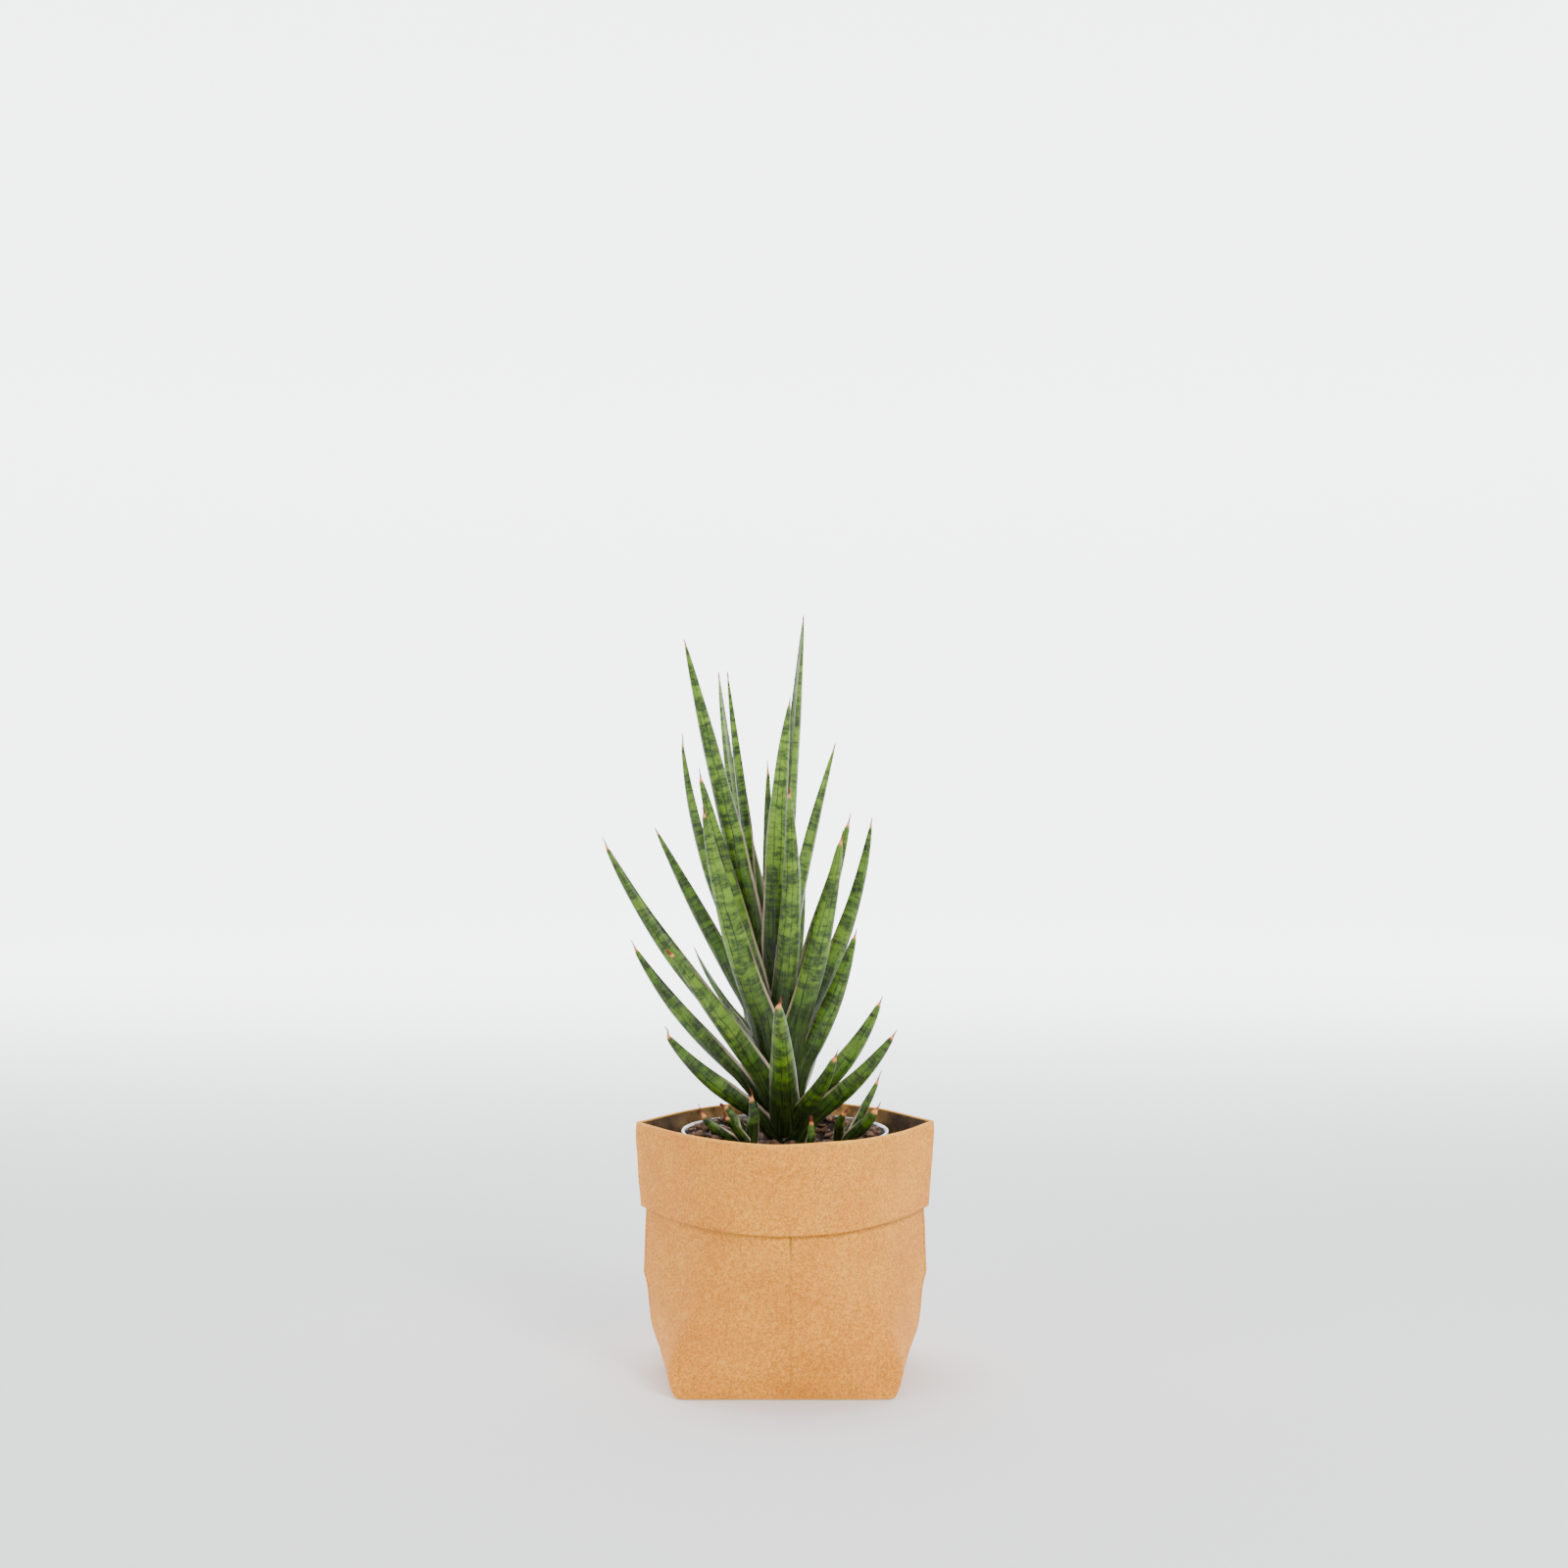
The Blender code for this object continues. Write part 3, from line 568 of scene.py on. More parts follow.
def bag_rings(offsets, heights):
    """Outlines at the heights, moved outwards by the offsets: (rows, columns, 3). Below the
    folds an outline is a blend of the base and the bowed walls, made fuller by a bulge of
    rise * (1 - rise)^2."""
    boxed = boxed_outline()
    rings = []
    for offset, height in zip(offsets, heights):
        rise = np.clip(height / FOLD_HEIGHT, 0, 1)
        outline = boxed * (1 - rise) + bowed_outline(max(height, FOLD_HEIGHT)) * rise
        outline *= 1 + BULGE_PEAK * rise * (1 - rise) ** 2 * np.array(WALL_BULGE)
        edges = np.roll(outline, -1, axis=0) - outline
        outwards = np.stack([edges[:, 1], -edges[:, 0]], axis=1)
        outwards /= np.linalg.norm(outwards, axis=1)[:, None]
        before = np.roll(outwards, 1, axis=0)
        mitre = (outwards + before) / (1 + (outwards * before).sum(axis=1))[:, None]
        flat = outline + mitre * offset
        rings.append(np.column_stack([flat, np.full(len(flat), height)]))
    return np.array(rings)


def seam_mask(points):
    """1 along the seams: one down the front wall, fading towards the base, two at each side.
    Across a seam the mask falls as exp(-(distance / width)^2)."""
    x, y, z = points[..., 0], points[..., 1], points[..., 2]
    fading = 0.22 + 0.78 * smooth(z, 76 * MM, 92 * MM)
    front = np.exp(-((x - FRONT_SEAM_X) / (0.7 * MM)) ** 2) * (y < 0) * fading
    side = np.exp(-((np.abs(y) - SIDE_SEAM_Y) / (0.6 * MM)) ** 2) * (np.abs(x) > 55 * MM)
    return (front + 0.6 * side) * smooth(z, 2 * MM, 14 * MM)


def wall_relief(points):
    """How far the wall stands in or out: soft dents, sharp creases, grooves at the seams and
    a ridge beside the front one. Dents are ripples, creases (1 - |ripples|)^9."""
    x, y, z = points[..., 0], points[..., 1], points[..., 2]
    lower = smooth(z, 0.0, 12 * MM)
    dents = 0.55 * MM * ripples(points, 62 * MM, 3) + 0.22 * MM * ripples(points, 24 * MM, 4)
    creases = -0.40 * MM * (1 - np.abs(ripples(points, 46 * MM, 5))).clip(0) ** 9
    ridge = np.exp(-((x - FRONT_SEAM_X - 2 * MM) / (1.1 * MM)) ** 2) * (y < 0) * lower
    calm = 1 - 0.75 * smooth(np.abs(x), 55 * MM, 76 * MM)
    seams = 0.35 * MM * ridge - 0.6 * MM * seam_mask(points)
    return (dents + creases) * lower * calm + seams


def cuff_relief(points):
    """Soft dents of the cuff, always outwards so that it clears the wall."""
    dents = 0.25 * MM * ripples(points, 70 * MM, 8) + 0.10 * MM * ripples(points, 20 * MM, 9)
    return 0.25 * MM + dents.clip(-0.25 * MM, None)


def lining_relief(points):
    """Crumpled wrinkles of the wall behind the cuff, always inwards."""
    wrinkles = 0.5 * MM * ripples(points, 22 * MM, 11) + 0.8 * MM * ripples(points, 48 * MM, 12)
    return -np.abs(wrinkles) * smooth(points[..., 2], 90 * MM, 112 * MM)


def shift_outwards(rings, relief):
    """Move each ring's points along its outline's own outward direction."""
    edges = np.roll(rings, -1, axis=1) - np.roll(rings, 1, axis=1)
    outwards = np.stack([edges[..., 1], -edges[..., 0]], axis=-1)
    outwards /= np.linalg.norm(outwards, axis=-1)[..., None]
    rings[..., :2] += outwards * relief[..., None]


def bag_sections():
    """The bag's profile in sections, from the inside floor up, over the cuff and down to the
    base: each has a label, its offsets outwards from the outline and its heights."""
    cuff_offset = PAPER + CUFF_SLACK
    bend = (cuff_offset + PAPER) / 2
    bend_top = BAG_TOP - bend
    lining_heights = np.linspace(2 * MM, bend_top, LINING_ROWS)
    inside_heights = np.concatenate([[CAD_PAPER + 0.2 * MM], lining_heights])
    cuff_heights = np.linspace(bend_top, CUFF_BOTTOM, CUFF_ROWS)
    flare = np.linspace(0, CUFF_FLARE, CUFF_ROWS)
    bends = np.linspace(math.pi, 0, 9)[1:-1]
    outer_heights = np.linspace(bend_top - 1 * MM, 2 * MM, WALL_ROWS)
    edge_turns = np.linspace(0, math.pi / 2, 6)[1:]
    return (
        ("inside", np.full(len(inside_heights), -PAPER), inside_heights),
        ("fold", cuff_offset - bend + bend * np.cos(bends), bend_top + bend * np.sin(bends)),
        ("cuff", cuff_offset + flare, cuff_heights),
        ("hem", np.array([cuff_offset - PAPER / 2 + CUFF_FLARE]),
         np.array([CUFF_BOTTOM - 0.25 * MM])),
        ("cuff_back", cuff_offset - PAPER + flare[::-1], cuff_heights[::-1]),
        ("wall", np.zeros(len(outer_heights)), outer_heights),
        ("edge", -BASE_EDGE * (1 - np.cos(edge_turns)), BASE_EDGE * (1 - np.sin(edge_turns))),
    )


def dent_bag(rings, labels):
    """Move the bag's rings by the reliefs, which fade out behind the cuff and at the fold,
    then wave the fold and the hem gently up and down."""
    z = rings[..., 2]
    on_cuff = np.isin(labels, ["cuff", "hem", "cuff_back"])
    on_wall = np.isin(labels, ["inside", "wall", "edge"])
    relief = np.zeros(z.shape)
    relief[on_wall] = wall_relief(rings[on_wall]) * (1 - smooth(z[on_wall], 84 * MM, 100 * MM))
    relief[on_wall] += lining_relief(rings[on_wall]) * (1 - smooth(z[on_wall], 134 * MM, 143 * MM))
    relief[on_cuff] = cuff_relief(rings[on_cuff]) * (1 - smooth(z[on_cuff], 136 * MM, 143.3 * MM))
    shift_outwards(rings, relief)

    sway = 0.45 * MM * ripples(rings * (1, 1, 0), 60 * MM, 15)
    rings[..., 2] += (sway - 0.5 * MM) * smooth(z, 110 * MM, BAG_TOP)
    hem = 0.18 * MM * ripples(rings * (1, 1, 0), 60 * MM, 16)
    rings[..., 2] += hem * on_cuff[:, None] * smooth(z, 125 * MM, CUFF_BOTTOM)


def bag_floors(rings):
    """The floor inside and the base below it, as the first and last rings drawn in towards a
    centre point each. The floor is uneven, and the base is raised a little at its middle."""
    start, end = np.array([0, 0, CAD_PAPER]), np.array([0, 0, 0.0])
    shares = np.linspace(0.08, 1, FLOOR_ROWS, endpoint=False)[:, None, None]
    floor = start + (rings[0] * (1, 1, 0) + (0, 0, CAD_PAPER) - start) * shares
    base = end + (rings[-1] * (1, 1, 0) - end) * shares[::-1]
    floor[..., 2] += 0.25 * MM * np.abs(ripples(floor, 40 * MM, 18))
    base[..., 2] += 0.5 * MM * (1 - shares[::-1, :, 0])
    end[2] += 0.5 * MM
    return floor, base, start, end


def store_bag_masks(bag, rings, labels):
    """Keep where the paper is lining, where its folds are worn, and where painted shade darkens it:
    in the seams and in the shade of the hem."""
    columns = rings.shape[1]
    lining = np.isin(labels, ["floor", "inside", "cuff_back"]).astype(float)
    worn = np.isin(labels, ["fold", "hem", "edge"]).astype(float)
    worn += 0.6 * smooth(rings[:, 0, 2], BAG_TOP - 3 * MM, BAG_TOP) * (labels == "cuff")
    outside = np.isin(labels, ["wall", "edge"])[:, None]
    # Painted shadow under the cuff's hem and painted shade along the seams, both on the outside wall.
    hem_shadow = 0.75 * np.exp(-((rings[..., 2] - CUFF_BOTTOM + 0.8 * MM) / (1.1 * MM)) ** 2)
    dark = np.maximum(seam_mask(rings), hem_shadow) * outside
    store(bag, "inside", np.append(np.repeat(lining, columns), (1, 0)))
    store(bag, "fold", np.append(np.repeat(worn.clip(0, 1), columns), (0, 0)))
    store(bag, "seam", np.append(dark.ravel(), (0, 0)))


def build_bag(material):
    """One sheet: base, walls and the turned-down cuff, swept along its profile round the
    bag's outline."""
    names, offsets, heights = zip(*bag_sections())
    labels = np.repeat(names, [len(part) for part in heights])
    rings = bag_rings(np.concatenate(offsets), np.concatenate(heights))
    dent_bag(rings, labels)
    floor, base, start, end = bag_floors(rings)
    rings = np.concatenate([floor, rings, base])
    labels = np.concatenate([["floor"] * FLOOR_ROWS, labels, ["base"] * FLOOR_ROWS])
    bag = make_piece("paper_bag_planter", *closed_tube(rings, start, end), material)
    store_bag_masks(bag, rings, labels)
    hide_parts("paper_bag")
    return bag


# ---------------------------------------------------------------- saucer, pot and soil

def pot_inner_radius(height):
    """Radius of the grow pot's inner wall, which widens evenly towards the rim."""
    share = (height - POT_LOW[2]) / (POT_HIGH[2] - POT_LOW[2])
    return POT_FLOOR_RADIUS + share * (POT_MOUTH_RADIUS - POT_FLOOR_RADIUS)


def build_saucer(material):
    """A shallow tray turned about Z: flat floor, sloping rim with a rounded edge."""
    low, high, radius = SAUCER_LOW[2], SAUCER_HIGH[2], SAUCER_HIGH[0]
    floor = low + 1.2 * MM
    profile = [(0, low), (radius - 4 * MM, low), (radius - 3 * MM, low + 0.4 * MM),
               (radius - 0.6 * MM, high - 1 * MM), (radius, high - 0.5 * MM),
               (radius - 0.4 * MM, high), (radius - 1.1 * MM, high - 0.3 * MM),
               (radius - 3.8 * MM, floor + 0.8 * MM), (radius - 5 * MM, floor), (0, floor)]
    saucer = turned("drip_saucer_tray", profile, material)
    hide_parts("drip_saucer")


def build_pot(material):
    """Thin pot with a rolled lip, a step below it and drain holes in its floor."""
    foot, top, rim = POT_LOW[2], POT_HIGH[2], POT_HIGH[0]
    lip_bottom = top - POT_LIP
    inner = pot_inner_radius
    profile = [(0, foot + 1 * MM), (20 * MM, foot + 1 * MM), (36 * MM, foot + 0.6 * MM),
               (40 * MM, foot), (42.4 * MM, foot + 0.4 * MM), (43 * MM, foot + 1.4 * MM)]
    for height in np.linspace(12 * MM, lip_bottom - 1 * MM, 14):
        profile.append((inner(height) + POT_WALL, height))
    turns = np.linspace(-math.pi / 2, math.pi, 13)
    roll = 0.9 * MM
    profile += [(inner(lip_bottom) + POT_WALL, lip_bottom), (rim - 0.8 * MM, lip_bottom),
                (rim - 0.2 * MM, lip_bottom + 0.5 * MM), (rim, top - roll - 1 * MM)]
    profile += [(rim - roll + roll * math.cos(turn), top - roll + roll * math.sin(turn))
                for turn in turns if math.sin(turn) > 0.1]
    for height in np.linspace(top - roll - 0.6 * MM, 12 * MM, 14):
        profile.append((inner(height), height))
    floor = foot + 1.8 * MM
    profile += [(41 * MM, floor + 0.4 * MM), (36 * MM, floor), (20 * MM, floor + 0.3 * MM),
                (0, floor + 0.3 * MM)]
    pot = turned("nursery_grow_pot", profile, material)
    stained = [height < top - 1.0 * MM and radius < inner(height) + 0.2 * MM
               for radius, height in profile[1:-1]]
    store(pot, "stain", np.append(np.repeat(stained, TURNED_SIDES), (0, 1)))
    for turn in np.linspace(0, 2 * math.pi, DRAINS, endpoint=False):
        cut_drain(pot, DRAIN_CIRCLE * math.cos(turn), DRAIN_CIRCLE * math.sin(turn))
    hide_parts("grow_pot")


def cut_drain(pot, x, y):
    """Cut one round drain hole through the pot's floor."""
    work = bmesh.new()
    bmesh.ops.create_cone(work, cap_ends=True, segments=24, radius1=DRAIN_RADIUS,
                          radius2=DRAIN_RADIUS, depth=8 * MM)
    bmesh.ops.translate(work, verts=work.verts, vec=(x, y, POT_LOW[2] + 1 * MM))
    mesh = bpy.data.meshes.new("drain")
    work.to_mesh(mesh)
    work.free()
    cutter = bpy.data.objects.new("drain", mesh)
    bpy.context.collection.objects.link(cutter)
    modifier = pot.modifiers.new("drain", "BOOLEAN")
    modifier.operation = "DIFFERENCE"
    modifier.solver = "EXACT"
    modifier.object = cutter
    bpy.context.view_layer.update()
    result = bpy.data.meshes.new_from_object(
        pot.evaluated_get(bpy.context.evaluated_depsgraph_get()))
    pot.modifiers.remove(modifier)
    pot.data = result
    bpy.data.objects.remove(cutter, do_unlink=True)


def soil_height(x, y):
    """Height of the soil's top: low mounds with lumps and crumbs on them, a rise round the
    stem, and a bank against the back of the pot. Each is a field of ripples or a smooth step."""
    points = np.stack([x, y, 0 * x], axis=-1)
    mounds = 0.8 * MM * ripples(points, 45 * MM, 21)
    lumps = 0.7 * MM * np.abs(ripples(points, 9 * MM, 22))
    crumbs = 0.35 * MM * np.abs(ripples(points, 3.2 * MM, 23, 24))
    rise = 2.2 * MM * np.exp(-(x * x + y * y) / (22 * MM) ** 2)
    banked = 7.5 * MM * smooth(np.hypot(x, y), 34 * MM, 53 * MM) * smooth(y, -45 * MM, 10 * MM)
    return SOIL_LEVEL - 0.8 * MM + (mounds + lumps + crumbs + rise) * 0.8 + banked


def build_soil(material):
    """A root ball: smooth sides against the pot, a lumpy top z = height(x, y)."""
    turns = np.linspace(0, 2 * math.pi, SOIL_COLUMNS, endpoint=False)
    edge = SOIL_LEVEL - 1.5 * MM
    levels = [SOIL_BOTTOM + rise * MM for rise in (0, 20, 60, 100)] + [edge]
    radii = [pot_inner_radius(level) - 0.3 * MM for level in levels]
    sides = [np.stack([radius * np.cos(turns), radius * np.sin(turns), 0 * turns + level], axis=1)
             for radius, level in zip(radii, levels)]
    top = []
    for radius in np.linspace(radii[-1] * 0.995, 1 * MM, SOIL_ROWS):
        x, y = radius * np.cos(turns), radius * np.sin(turns)
        top.append(np.stack([x, y, soil_height(x, y)], axis=1))
    bottom_centre = np.array([0, 0, SOIL_BOTTOM])
    top_centre = np.array([0, 0, soil_height(np.zeros(1), np.zeros(1))[0]])
    rings = np.array(sides + top)
    soil = make_piece("potting_soil_ball", *closed_tube(rings, bottom_centre, top_centre), material)
    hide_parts("soil")


def lump(size, random, flatness):
    """A small rough chip or grain: a ball of 80 triangles, pushed in and out by ripples,
    flattened, tilted about X and turned about Z."""
    work = bmesh.new()
    bmesh.ops.create_icosphere(work, subdivisions=2, radius=1)
    points = np.array([vertex.co for vertex in work.verts])
    faces = np.array([[vertex.index for vertex in face.verts] for face in work.faces])
    work.free()
    points *= 1 + 0.22 * ripples(points, 1.6, int(random.integers(1 << 30)), 6)[:, None]
    points *= np.array([1, random.uniform(0.45, 0.9), flatness]) * size
    turn, tilt = random.uniform(0, 2 * math.pi), random.uniform(-0.6, 0.6)
    spin = np.array([[math.cos(turn), -math.sin(turn), 0], [math.sin(turn), math.cos(turn), 0],
                     [0, 0, 1]])
    lean = np.array([[1, 0, 0], [0, math.cos(tilt), -math.sin(tilt)],
                     [0, math.sin(tilt), math.cos(tilt)]])
    return points @ lean.T @ spin.T, faces


def scatter(name, count, sizes, flatness, seed, material, placed=()):
    """Lay many small lumps on the soil, as one piece: first the placed ones, then random ones."""
    random = np.random.default_rng(seed)
    all_points, all_faces, total = [], [], 0
    spots = list(placed)
    while len(spots) < count:
        radius = 53 * MM * math.sqrt(random.uniform(0.01, 1))
        turn = random.uniform(0, 2 * math.pi)
        spots.append((radius * math.cos(turn), radius * math.sin(turn),
                      random.uniform(*sizes)))
    for x, y, size in spots:
        points, faces = lump(size, random, flatness)
        ground = soil_height(np.array([x]), np.array([y]))[0]
        all_points.append(points + (x, y, ground + size * flatness * 0.35))
        all_faces.append(faces + total)
        total += len(points)
    piece = make_piece(name, np.vstack(all_points), np.zeros((0, 4), int),
                       np.vstack(all_faces), material)


def rim_chips():
    """Places and sizes of bigger chips in two rows along the back of the pot's rim."""
    turns = np.radians(np.linspace(-12, 192, 44))
    reaches = np.tile((53 * MM, 50 * MM), 22)
    sizes = np.tile((2.6, 3.4, 3.0, 4.0), 11) * MM
    return [(reach * math.cos(turn), reach * math.sin(turn), size)
            for turn, reach, size in zip(turns, reaches, sizes)]


# ---------------------------------------------------------------- stem and leaves

def stem_axis(height):
    """Point on the leaning middle line of the main stem at a height."""
    height = np.asarray(height, dtype=float)
    return np.stack([STEM_FOOT_X + STEM_LEAN * (height - SOIL_LEVEL), 0 * height, height], axis=-1)


def stem_radius(height):
    """Radius of the main stem, which thins evenly above the soil."""
    share = np.clip((height - SOIL_LEVEL) / (STEM_TOP - SOIL_LEVEL), 0, 1)
    return STEM_RADIUS + share * (STEM_TOP_RADIUS - STEM_RADIUS)


def pup_centre(name, height):
    """Point on the upright middle line of a pup, or of the stump, at a height."""
    x, y = {"left_pup": LEFT_PUP, "right_pup": RIGHT_PUP, "stump": STUMP_FOOT}[name]
    return np.array([x, y, height])


def ringed_stem(name, path, radii, material, pitch):
    """A stem of round rings along a path, swollen and scarred once in every pitch of its
    length: the radius grows by 7 % of exp(-(distance from the scar)^2)."""
    path = np.asarray(path, dtype=float)
    along = np.concatenate([[0], np.cumsum(np.linalg.norm(np.diff(path, axis=0), axis=1))])
    tangents = np.gradient(path, axis=0)
    tangents /= np.linalg.norm(tangents, axis=1)[:, None]
    side = np.cross(tangents, (0.31, 0.95, 0.05))
    side /= np.linalg.norm(side, axis=1)[:, None]
    other = np.cross(tangents, side)
    turns = np.linspace(0, 2 * math.pi, 40, endpoint=False)
    phase = (along[:, None] + 1.2 * MM * np.sin(turns)) / pitch % 1
    ridge = np.exp(-((phase - 0.5) / 0.12) ** 2)
    radius = np.asarray(radii)[:, None] * (1 + 0.07 * ridge)
    rings = (path[:, None] + radius[..., None] * (np.cos(turns)[:, None] * side[:, None]
                                                  + np.sin(turns)[:, None] * other[:, None]))
    ends = path[0] - tangents[0] * radii[0] * 0.4, path[-1] + tangents[-1] * radii[-1] * 0.5
    stem = make_piece(name, *closed_tube(rings, *ends), material)
    store(stem, "scar", np.append(ridge.ravel(), (0, 0)))
    return stem


def build_stems(material):
    """Main stem, and the rhizome with a pup stem at each end of it."""
    heights = np.linspace(STEM_BOTTOM, STEM_TOP, 90)
    main = ringed_stem("main_stem", stem_axis(heights), stem_radius(heights), material, 9 * MM)
    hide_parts("stem_and_rhizome")
    for name in ("left_pup", "right_pup"):
        foot = stem_axis(109 * MM)
        bend = pup_centre(name, 106 * MM)
        share = np.linspace(0, 1, 60)[:, None]
        path = ((1 - share) ** 2 * foot + 2 * share * (1 - share) * bend
                + share ** 2 * pup_centre(name, 139 * MM))
        radii = np.interp(share[:, 0], (0, 0.6, 1), (4.2 * MM, PUP_RADIUS, PUP_RADIUS))
        ringed_stem(f"{name}_rhizome", path, radii, material, 6 * MM)


TIP_KINDS = {                        # length of the dry tip, its blunt width, its hook
    "fine": (5.5 * MM, 0.5 * MM, 0.0),
    "long": (10 * MM, 0.4 * MM, 0.6 * MM),
    "red": (7 * MM, 0.5 * MM, 0.0),
    "orange": (7 * MM, 0.6 * MM, 0.4 * MM),
    "broken": (6 * MM, 1.5 * MM, -0.8 * MM),
    "hooked": (8 * MM, 0.5 * MM, 2.2 * MM),
}
STATIONS = 120                       # stations along a leaf, and points across each of them
BACK_POINTS = 29
CHANNEL_POINTS = 21
GROOVE_PLACES = (-0.62, -0.25, 0.12, 0.5)
GROOVE_DEPTH = 0.16 * MM


def leaf_line(grows_from, root_height, tip, bow, sway):
    """Middle line of a leaf: a bent curve from stem to tip, whose foot is drawn in to the
    stem's axis so that the leaf clasps it. Returns points, shares, sideways and length."""
    tip = np.array(tip) * MM
    height = root_height * MM
    if grows_from == "stem":
        centre, radius = stem_axis(height), float(stem_radius(height))
        foot = stem_axis(height - 7 * MM)
    else:
        centre, radius = pup_centre(grows_from, height), PUP_RADIUS
        foot = pup_centre(grows_from, height - 4 * MM)
    outwards = (tip - centre) * (1, 1, 0)
    outwards /= np.linalg.norm(outwards)
    sideways = np.array([-outwards[1], outwards[0], 0])
    root = centre + outwards * (radius + 1.2 * MM)
    along = (tip - root) / np.linalg.norm(tip - root)
    below = outwards - along * outwards.dot(along)
    below /= np.linalg.norm(below)
    middle = (root + tip) / 2 + below * bow * MM + sideways * sway * MM
    share = 1 - np.linspace(1, 0, STATIONS) ** 1.5
    share = share[:, None]
    line = (1 - share) ** 2 * root + 2 * share * (1 - share) * middle + share ** 2 * tip
    line += (foot - root) * (1 - smooth(share, 0, 0.30))
    return line, share[:, 0], sideways, float(np.linalg.norm(tip - root))


def leaf_frame(line, sideways, turn):
    """Tangent, side and face directions along the line, turned about it from the root up."""
    tangent = np.gradient(line, axis=0)
    tangent /= np.linalg.norm(tangent, axis=1)[:, None]
    side = sideways - tangent * (tangent @ sideways)[:, None]
    side /= np.linalg.norm(side, axis=1)[:, None]
    face = np.cross(tangent, side)
    share = np.linspace(0, 1, len(line))
    angle = (math.radians(turn) * smooth(share, 0.02, 0.35))[:, None]
    turned_side = side * np.cos(angle) + face * np.sin(angle)
    return tangent, turned_side, np.cross(tangent, turned_side)


def leaf_sizes(share, length, width, tip_kind, phase):
    """Width, depth, hollow, and shares of spine and sheath at each station. The width falls
    to the tip as a sine of the share that is left, is wider in the sheath and blends into
    the spine. Depth and hollow are shares of the width."""
    tip_length, tip_width, _ = TIP_KINDS[tip_kind]
    from_tip = (1 - share) * length
    spine = 1 - smooth(from_tip, 0.3 * tip_length, tip_length)
    sheath = 1 - smooth(share, 0, 0.22)
    wide = width * MM * np.sin(math.pi / 2 * (1 - share) ** 0.72)
    wide *= 1 + 0.22 * sheath
    wide *= 1 + 0.02 * np.sin(share * length / (9 * MM) + phase)
    body_width = np.maximum(wide, 1.3 * MM)
    spine_width = tip_width + 0.9 * MM * np.clip(from_tip / tip_length, 0, 1)
    wide = body_width * (1 - spine) + spine_width * spine
    deep = wide * (0.60 + 0.08 * sheath)
    hollow = wide * (0.06 + 0.22 * smooth(1 - share, 0.08, 0.6) + 0.18 * sheath)
    hollow = hollow * (1 - spine) - 0.45 * wide * spine
    return wide, deep, hollow, spine, sheath


def leaf_section(wide, deep, hollow, spine):
    """Where each column stands across a leaf, from -1 to 1, and its depth at each station.
    The back is nearly half an ellipse with fine grooves, the channel nearly a parabola."""
    back = np.linspace(-math.pi / 2, math.pi / 2, BACK_POINTS)
    back_across = np.sin(back)
    grooves = sum(np.exp(-((back_across - place) / 0.05) ** 2) for place in GROOVE_PLACES)
    back_depth = -deep[:, None] * np.cos(back) ** 0.9
    back_depth += (GROOVE_DEPTH * grooves * (1 - spine)[:, None]
                   * smooth(wide, 2 * MM, 6 * MM)[:, None])
    channel_across = np.linspace(1, -1, CHANNEL_POINTS + 2)[1:-1]
    channel_depth = -hollow[:, None] * (1 - channel_across ** 2) ** 0.8
    across = np.concatenate([back_across, channel_across])
    return across, np.concatenate([back_depth, channel_depth], axis=1)


def store_leaf_layers(leaf, across, share, length, wide, spine, tone, number):
    """Keep the numbers that the leaf's material reads, with their mean at each end point."""
    shape = (STATIONS, len(across))
    columns = np.broadcast_to(across, shape)
    in_channel = np.broadcast_to(np.arange(len(across)) >= BACK_POINTS, shape)
    margin = smooth(np.abs(columns), 0.90, 0.99) * in_channel
    margin = np.maximum(margin, smooth(np.abs(columns), 0.985, 1.0))
    margin = margin * (0.15 + 0.85 * (1 - smooth(share, 0.15, 0.65)))[:, None]
    layers = {
        "across": columns,
        "span": columns * wide[:, None] / 2,
        "along": np.broadcast_to((share * length)[:, None], shape),
        "reach": np.broadcast_to(share[:, None], shape),
        "channel": in_channel,
        "edge": margin,
        "dryness": np.broadcast_to(spine[:, None], shape),
        "tone": np.full(shape, tone),
        "lot": np.full(shape, number * 0.37),
    }
    for label, values in layers.items():
        values = np.asarray(values, dtype=float)
        store(leaf, label, np.append(values.ravel(), (values[0].mean(), values[-1].mean())))


def build_leaf(number, row, material):
    """A leaf with a rounded back and a hollow channel between two thin margins, carried along
    its line. It narrows to a dry spine at the tip and widens to a clasping sheath."""
    name, grows_from, root_height, tip, bow, sway, width, turn, tone, tip_kind = row
    line, share, sideways, length = leaf_line(grows_from, root_height, tip, bow, sway)
    tangent, side, face = leaf_frame(line, sideways, turn)
    phase = np.random.default_rng(100 + number).uniform(0, 6)
    wide, deep, hollow, spine, sheath = leaf_sizes(share, length, width, tip_kind, phase)
    across, depth = leaf_section(wide, deep, hollow, spine)

    hook = TIP_KINDS[tip_kind][2]
    line = line + hook * (spine ** 2)[:, None] * (side * 0.7 + face * 0.7)
    line = line + (0.42 * deep * (1 - sheath))[:, None] * face
    rings = (line[:, None] + (wide[:, None] / 2 * across)[..., None] * side[:, None]
             + depth[..., None] * face[:, None])
    ends = rings[0].mean(axis=0), rings[-1].mean(axis=0) + tangent[-1] * 0.5 * MM
    leaf = make_piece(f"{name}_blade", *closed_tube(rings, *ends), material)
    store_leaf_layers(leaf, across, share, length, wide, spine, tone, number)
    if row is not STUMP:
        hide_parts(name)


# ---------------------------------------------------------------- stage, light and camera

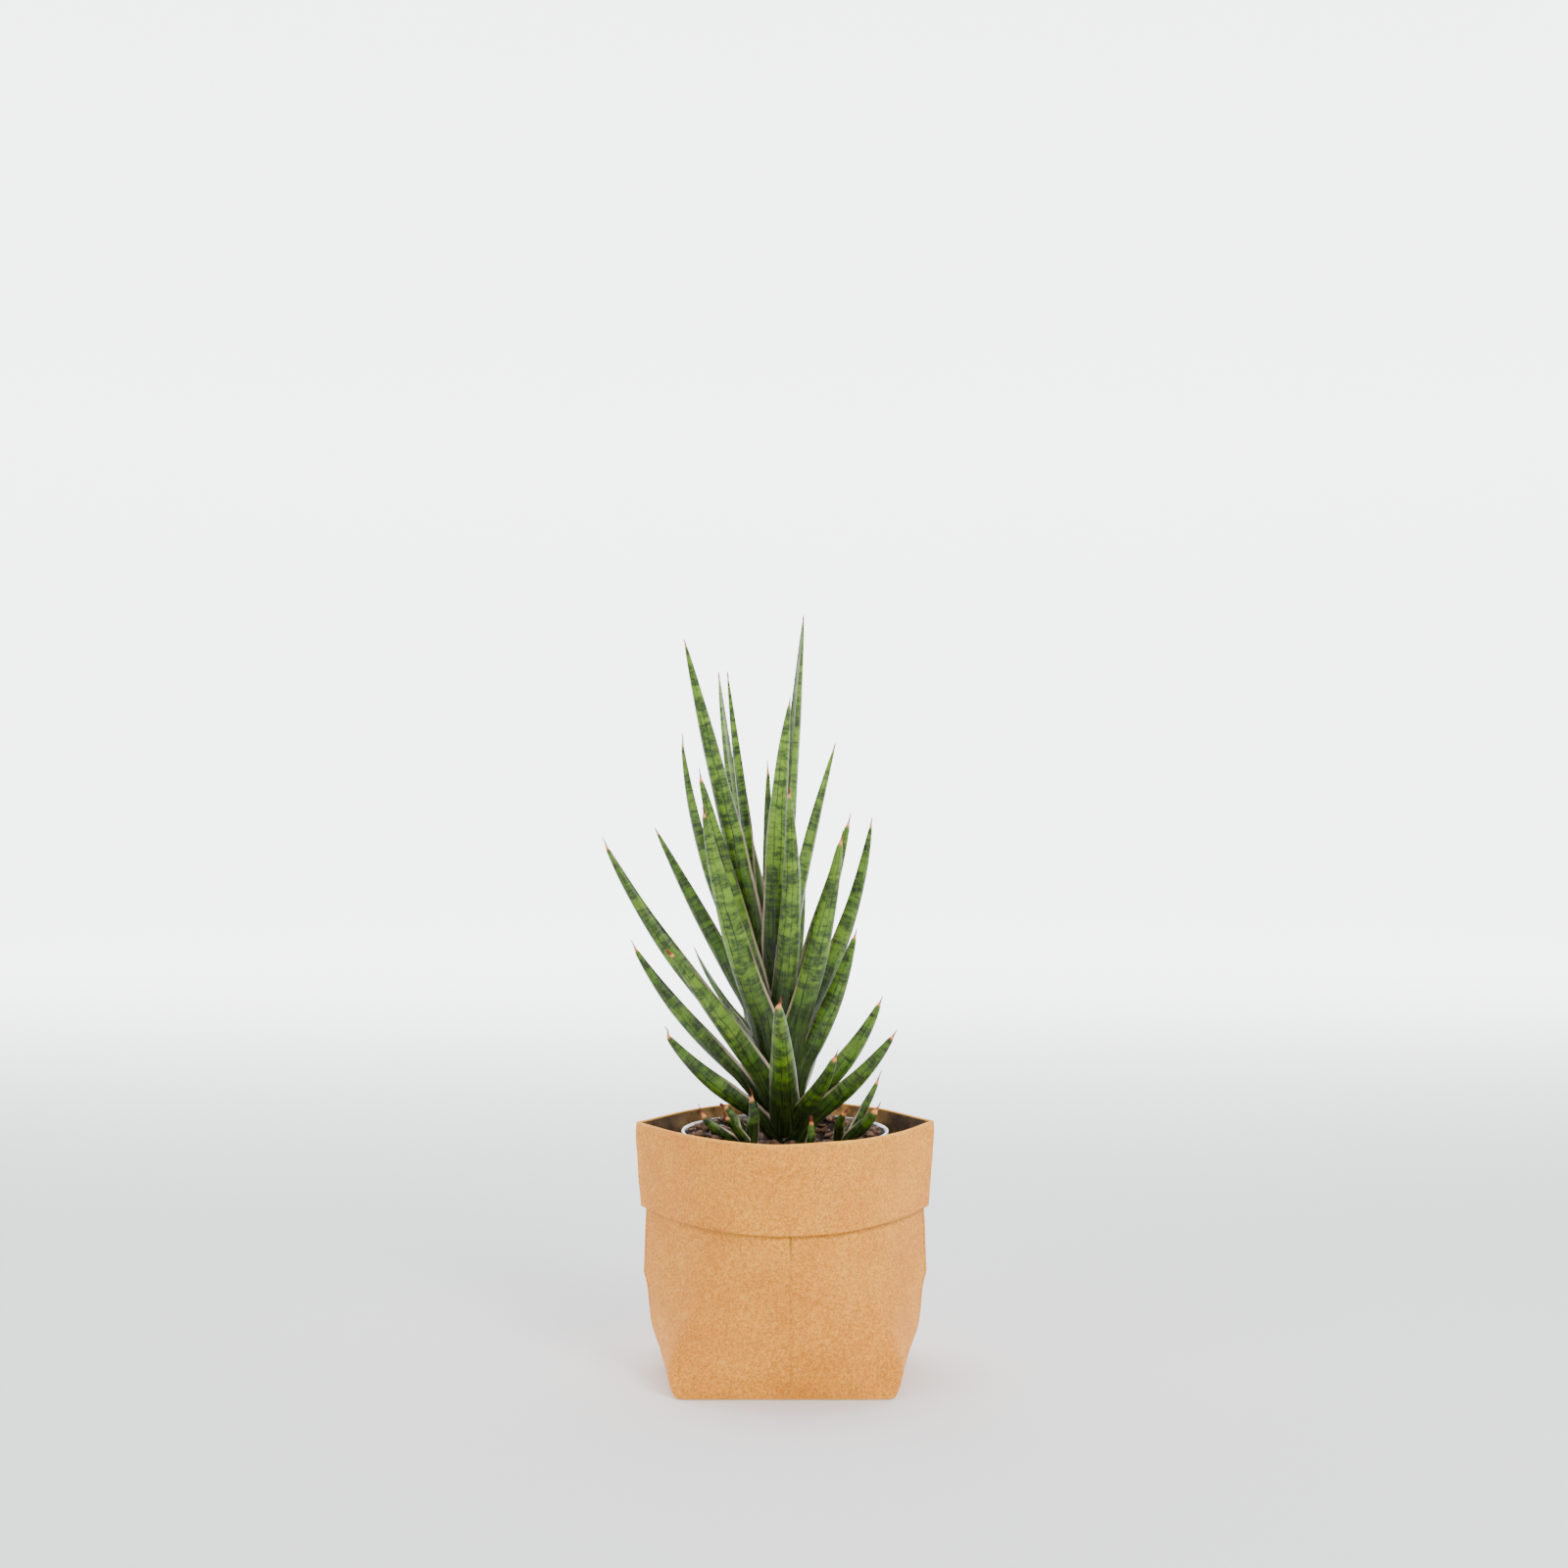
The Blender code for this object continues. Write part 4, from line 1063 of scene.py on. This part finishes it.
def floor_material():
    """Pale matt floor, whose far part glows softly so that it reads as a bright wall."""
    material, tree, shader, place = new_material("pale_floor")
    tone = mottle(tree, place, 3, 0.2, 0.8)
    wire(tree, blend_colours(tree, tone, (0.88, 0.89, 0.90), (0.90, 0.905, 0.91)), shader,
         "Base Color")
    depth = add_node(tree, "ShaderNodeSeparateXYZ", {0: place})
    glow = step(tree, depth.outputs["Y"], 0.3, 2.6, 0.0, 3.2)
    shader.inputs["Emission Color"].default_value = (0.97, 0.985, 1.0, 1)
    wire(tree, glow, shader, "Emission Strength")
    shader.inputs["Roughness"].default_value = 0.9
    return material


def build_stage():
    """A round floor that curves up into a wall, far outside the object: rings, of which those
    at the foot of the wall follow a quarter circle."""
    turns = np.linspace(0, 2 * math.pi, FLOOR_SIDES, endpoint=False)
    bend = np.linspace(0, math.pi / 2, 16)
    radii = np.concatenate([[0.4, 1.2, 2.4], 3.2 + 1.2 * np.sin(bend), [4.4]])
    heights = np.concatenate([[0, 0, 0], 1.2 - 1.2 * np.cos(bend), [3.2]])
    rings = np.stack([radii[:, None] * np.cos(turns), radii[:, None] * np.sin(turns),
                      np.repeat(heights[:, None], FLOOR_SIDES, axis=1)], axis=-1)
    points = np.vstack([rings.reshape(-1, 3), (0, 0, 0)])
    column = np.arange(FLOOR_SIDES)
    centre = np.stack([np.full(FLOOR_SIDES, len(points) - 1), column,
                       (column + 1) % FLOOR_SIDES], axis=1)
    quads = grid_faces(len(radii), FLOOR_SIDES)[:, ::-1]
    mesh = bpy.data.meshes.new("studio_floor")
    mesh.from_pydata(points.tolist(), [], quads.tolist() + centre.tolist())
    mesh.shade_smooth()
    mesh.materials.append(floor_material())
    floor = bpy.data.objects.new("studio_floor", mesh)
    bpy.context.collection.objects.link(floor)


def add_light(name, place, size, power):
    """A soft round lamp that faces the middle of the plant."""
    light = bpy.data.lights.new(name, "AREA")
    light.shape = "DISK"
    light.size = size
    light.energy = power
    lamp = bpy.data.objects.new(name, light)
    lamp.location = place
    direction = np.array(place) - np.array(LIGHT_TARGET)
    flat = math.hypot(direction[0], direction[1])
    lamp.rotation_euler = (math.atan2(flat, direction[2]), 0,
                           math.atan2(direction[1], direction[0]) + math.pi / 2)
    bpy.context.collection.objects.link(lamp)


def light_scene():
    """A pale even sky and four soft lamps."""
    world = bpy.data.worlds.new("studio_sky")
    bpy.context.scene.world = world
    world.use_nodes = True
    sky = world.node_tree.nodes["Background"]
    sky.inputs["Color"].default_value = (0.94, 0.97, 1.0, 1)
    sky.inputs["Strength"].default_value = 0.35
    for name, place, size, power in LIGHTS:
        add_light(name, place, size, power)


def add_camera():
    """50 mm lens, level, at the height of the upper leaves."""
    camera = bpy.data.cameras.new("camera")
    camera.lens = 50
    camera.sensor_width = 36
    holder = bpy.data.objects.new("camera", camera)
    holder.location = CAMERA_PLACE
    holder.rotation_euler = (math.pi / 2, 0, 0)
    bpy.context.collection.objects.link(holder)
    bpy.context.scene.camera = holder


def build_scene():
    """The stage, then every piece with its material."""
    add_camera()
    light_scene()
    build_stage()
    leaf_skin = leaf_material()
    bag = build_bag(paper_material())
    build_saucer(plastic_material("clear_plastic", linear(214, 220, 220), 0.15, 0.15))
    build_pot(plastic_material("white_plastic", linear(150, 155, 156), 0.18, 0.35))
    build_soil(crumb_material("dark_soil", linear(74, 52, 36), linear(22, 15, 10), 420))
    bark = crumb_material("bark", linear(150, 108, 78), linear(62, 38, 24), 300, 0.85)
    scatter("bark_chips", 300, (1.6 * MM, 4.2 * MM), 0.45, 31, bark, rim_chips())
    scatter("soil_crumbs", 420, (0.7 * MM, 1.7 * MM), 0.8, 32,
            crumb_material("crumb", linear(96, 66, 44), linear(34, 22, 14), 500))
    scatter("perlite_grains", 40, (0.7 * MM, 1.5 * MM), 0.85, 33,
            crumb_material("perlite", linear(222, 216, 204), linear(180, 172, 158), 500),
            [(-44 * MM, 14 * MM, 2.3 * MM)])
    build_stems(stem_material())
    for number, row in enumerate(LEAVES):
        build_leaf(number, row, leaf_skin)
    build_leaf(len(LEAVES), STUMP, leaf_skin)


build_scene()
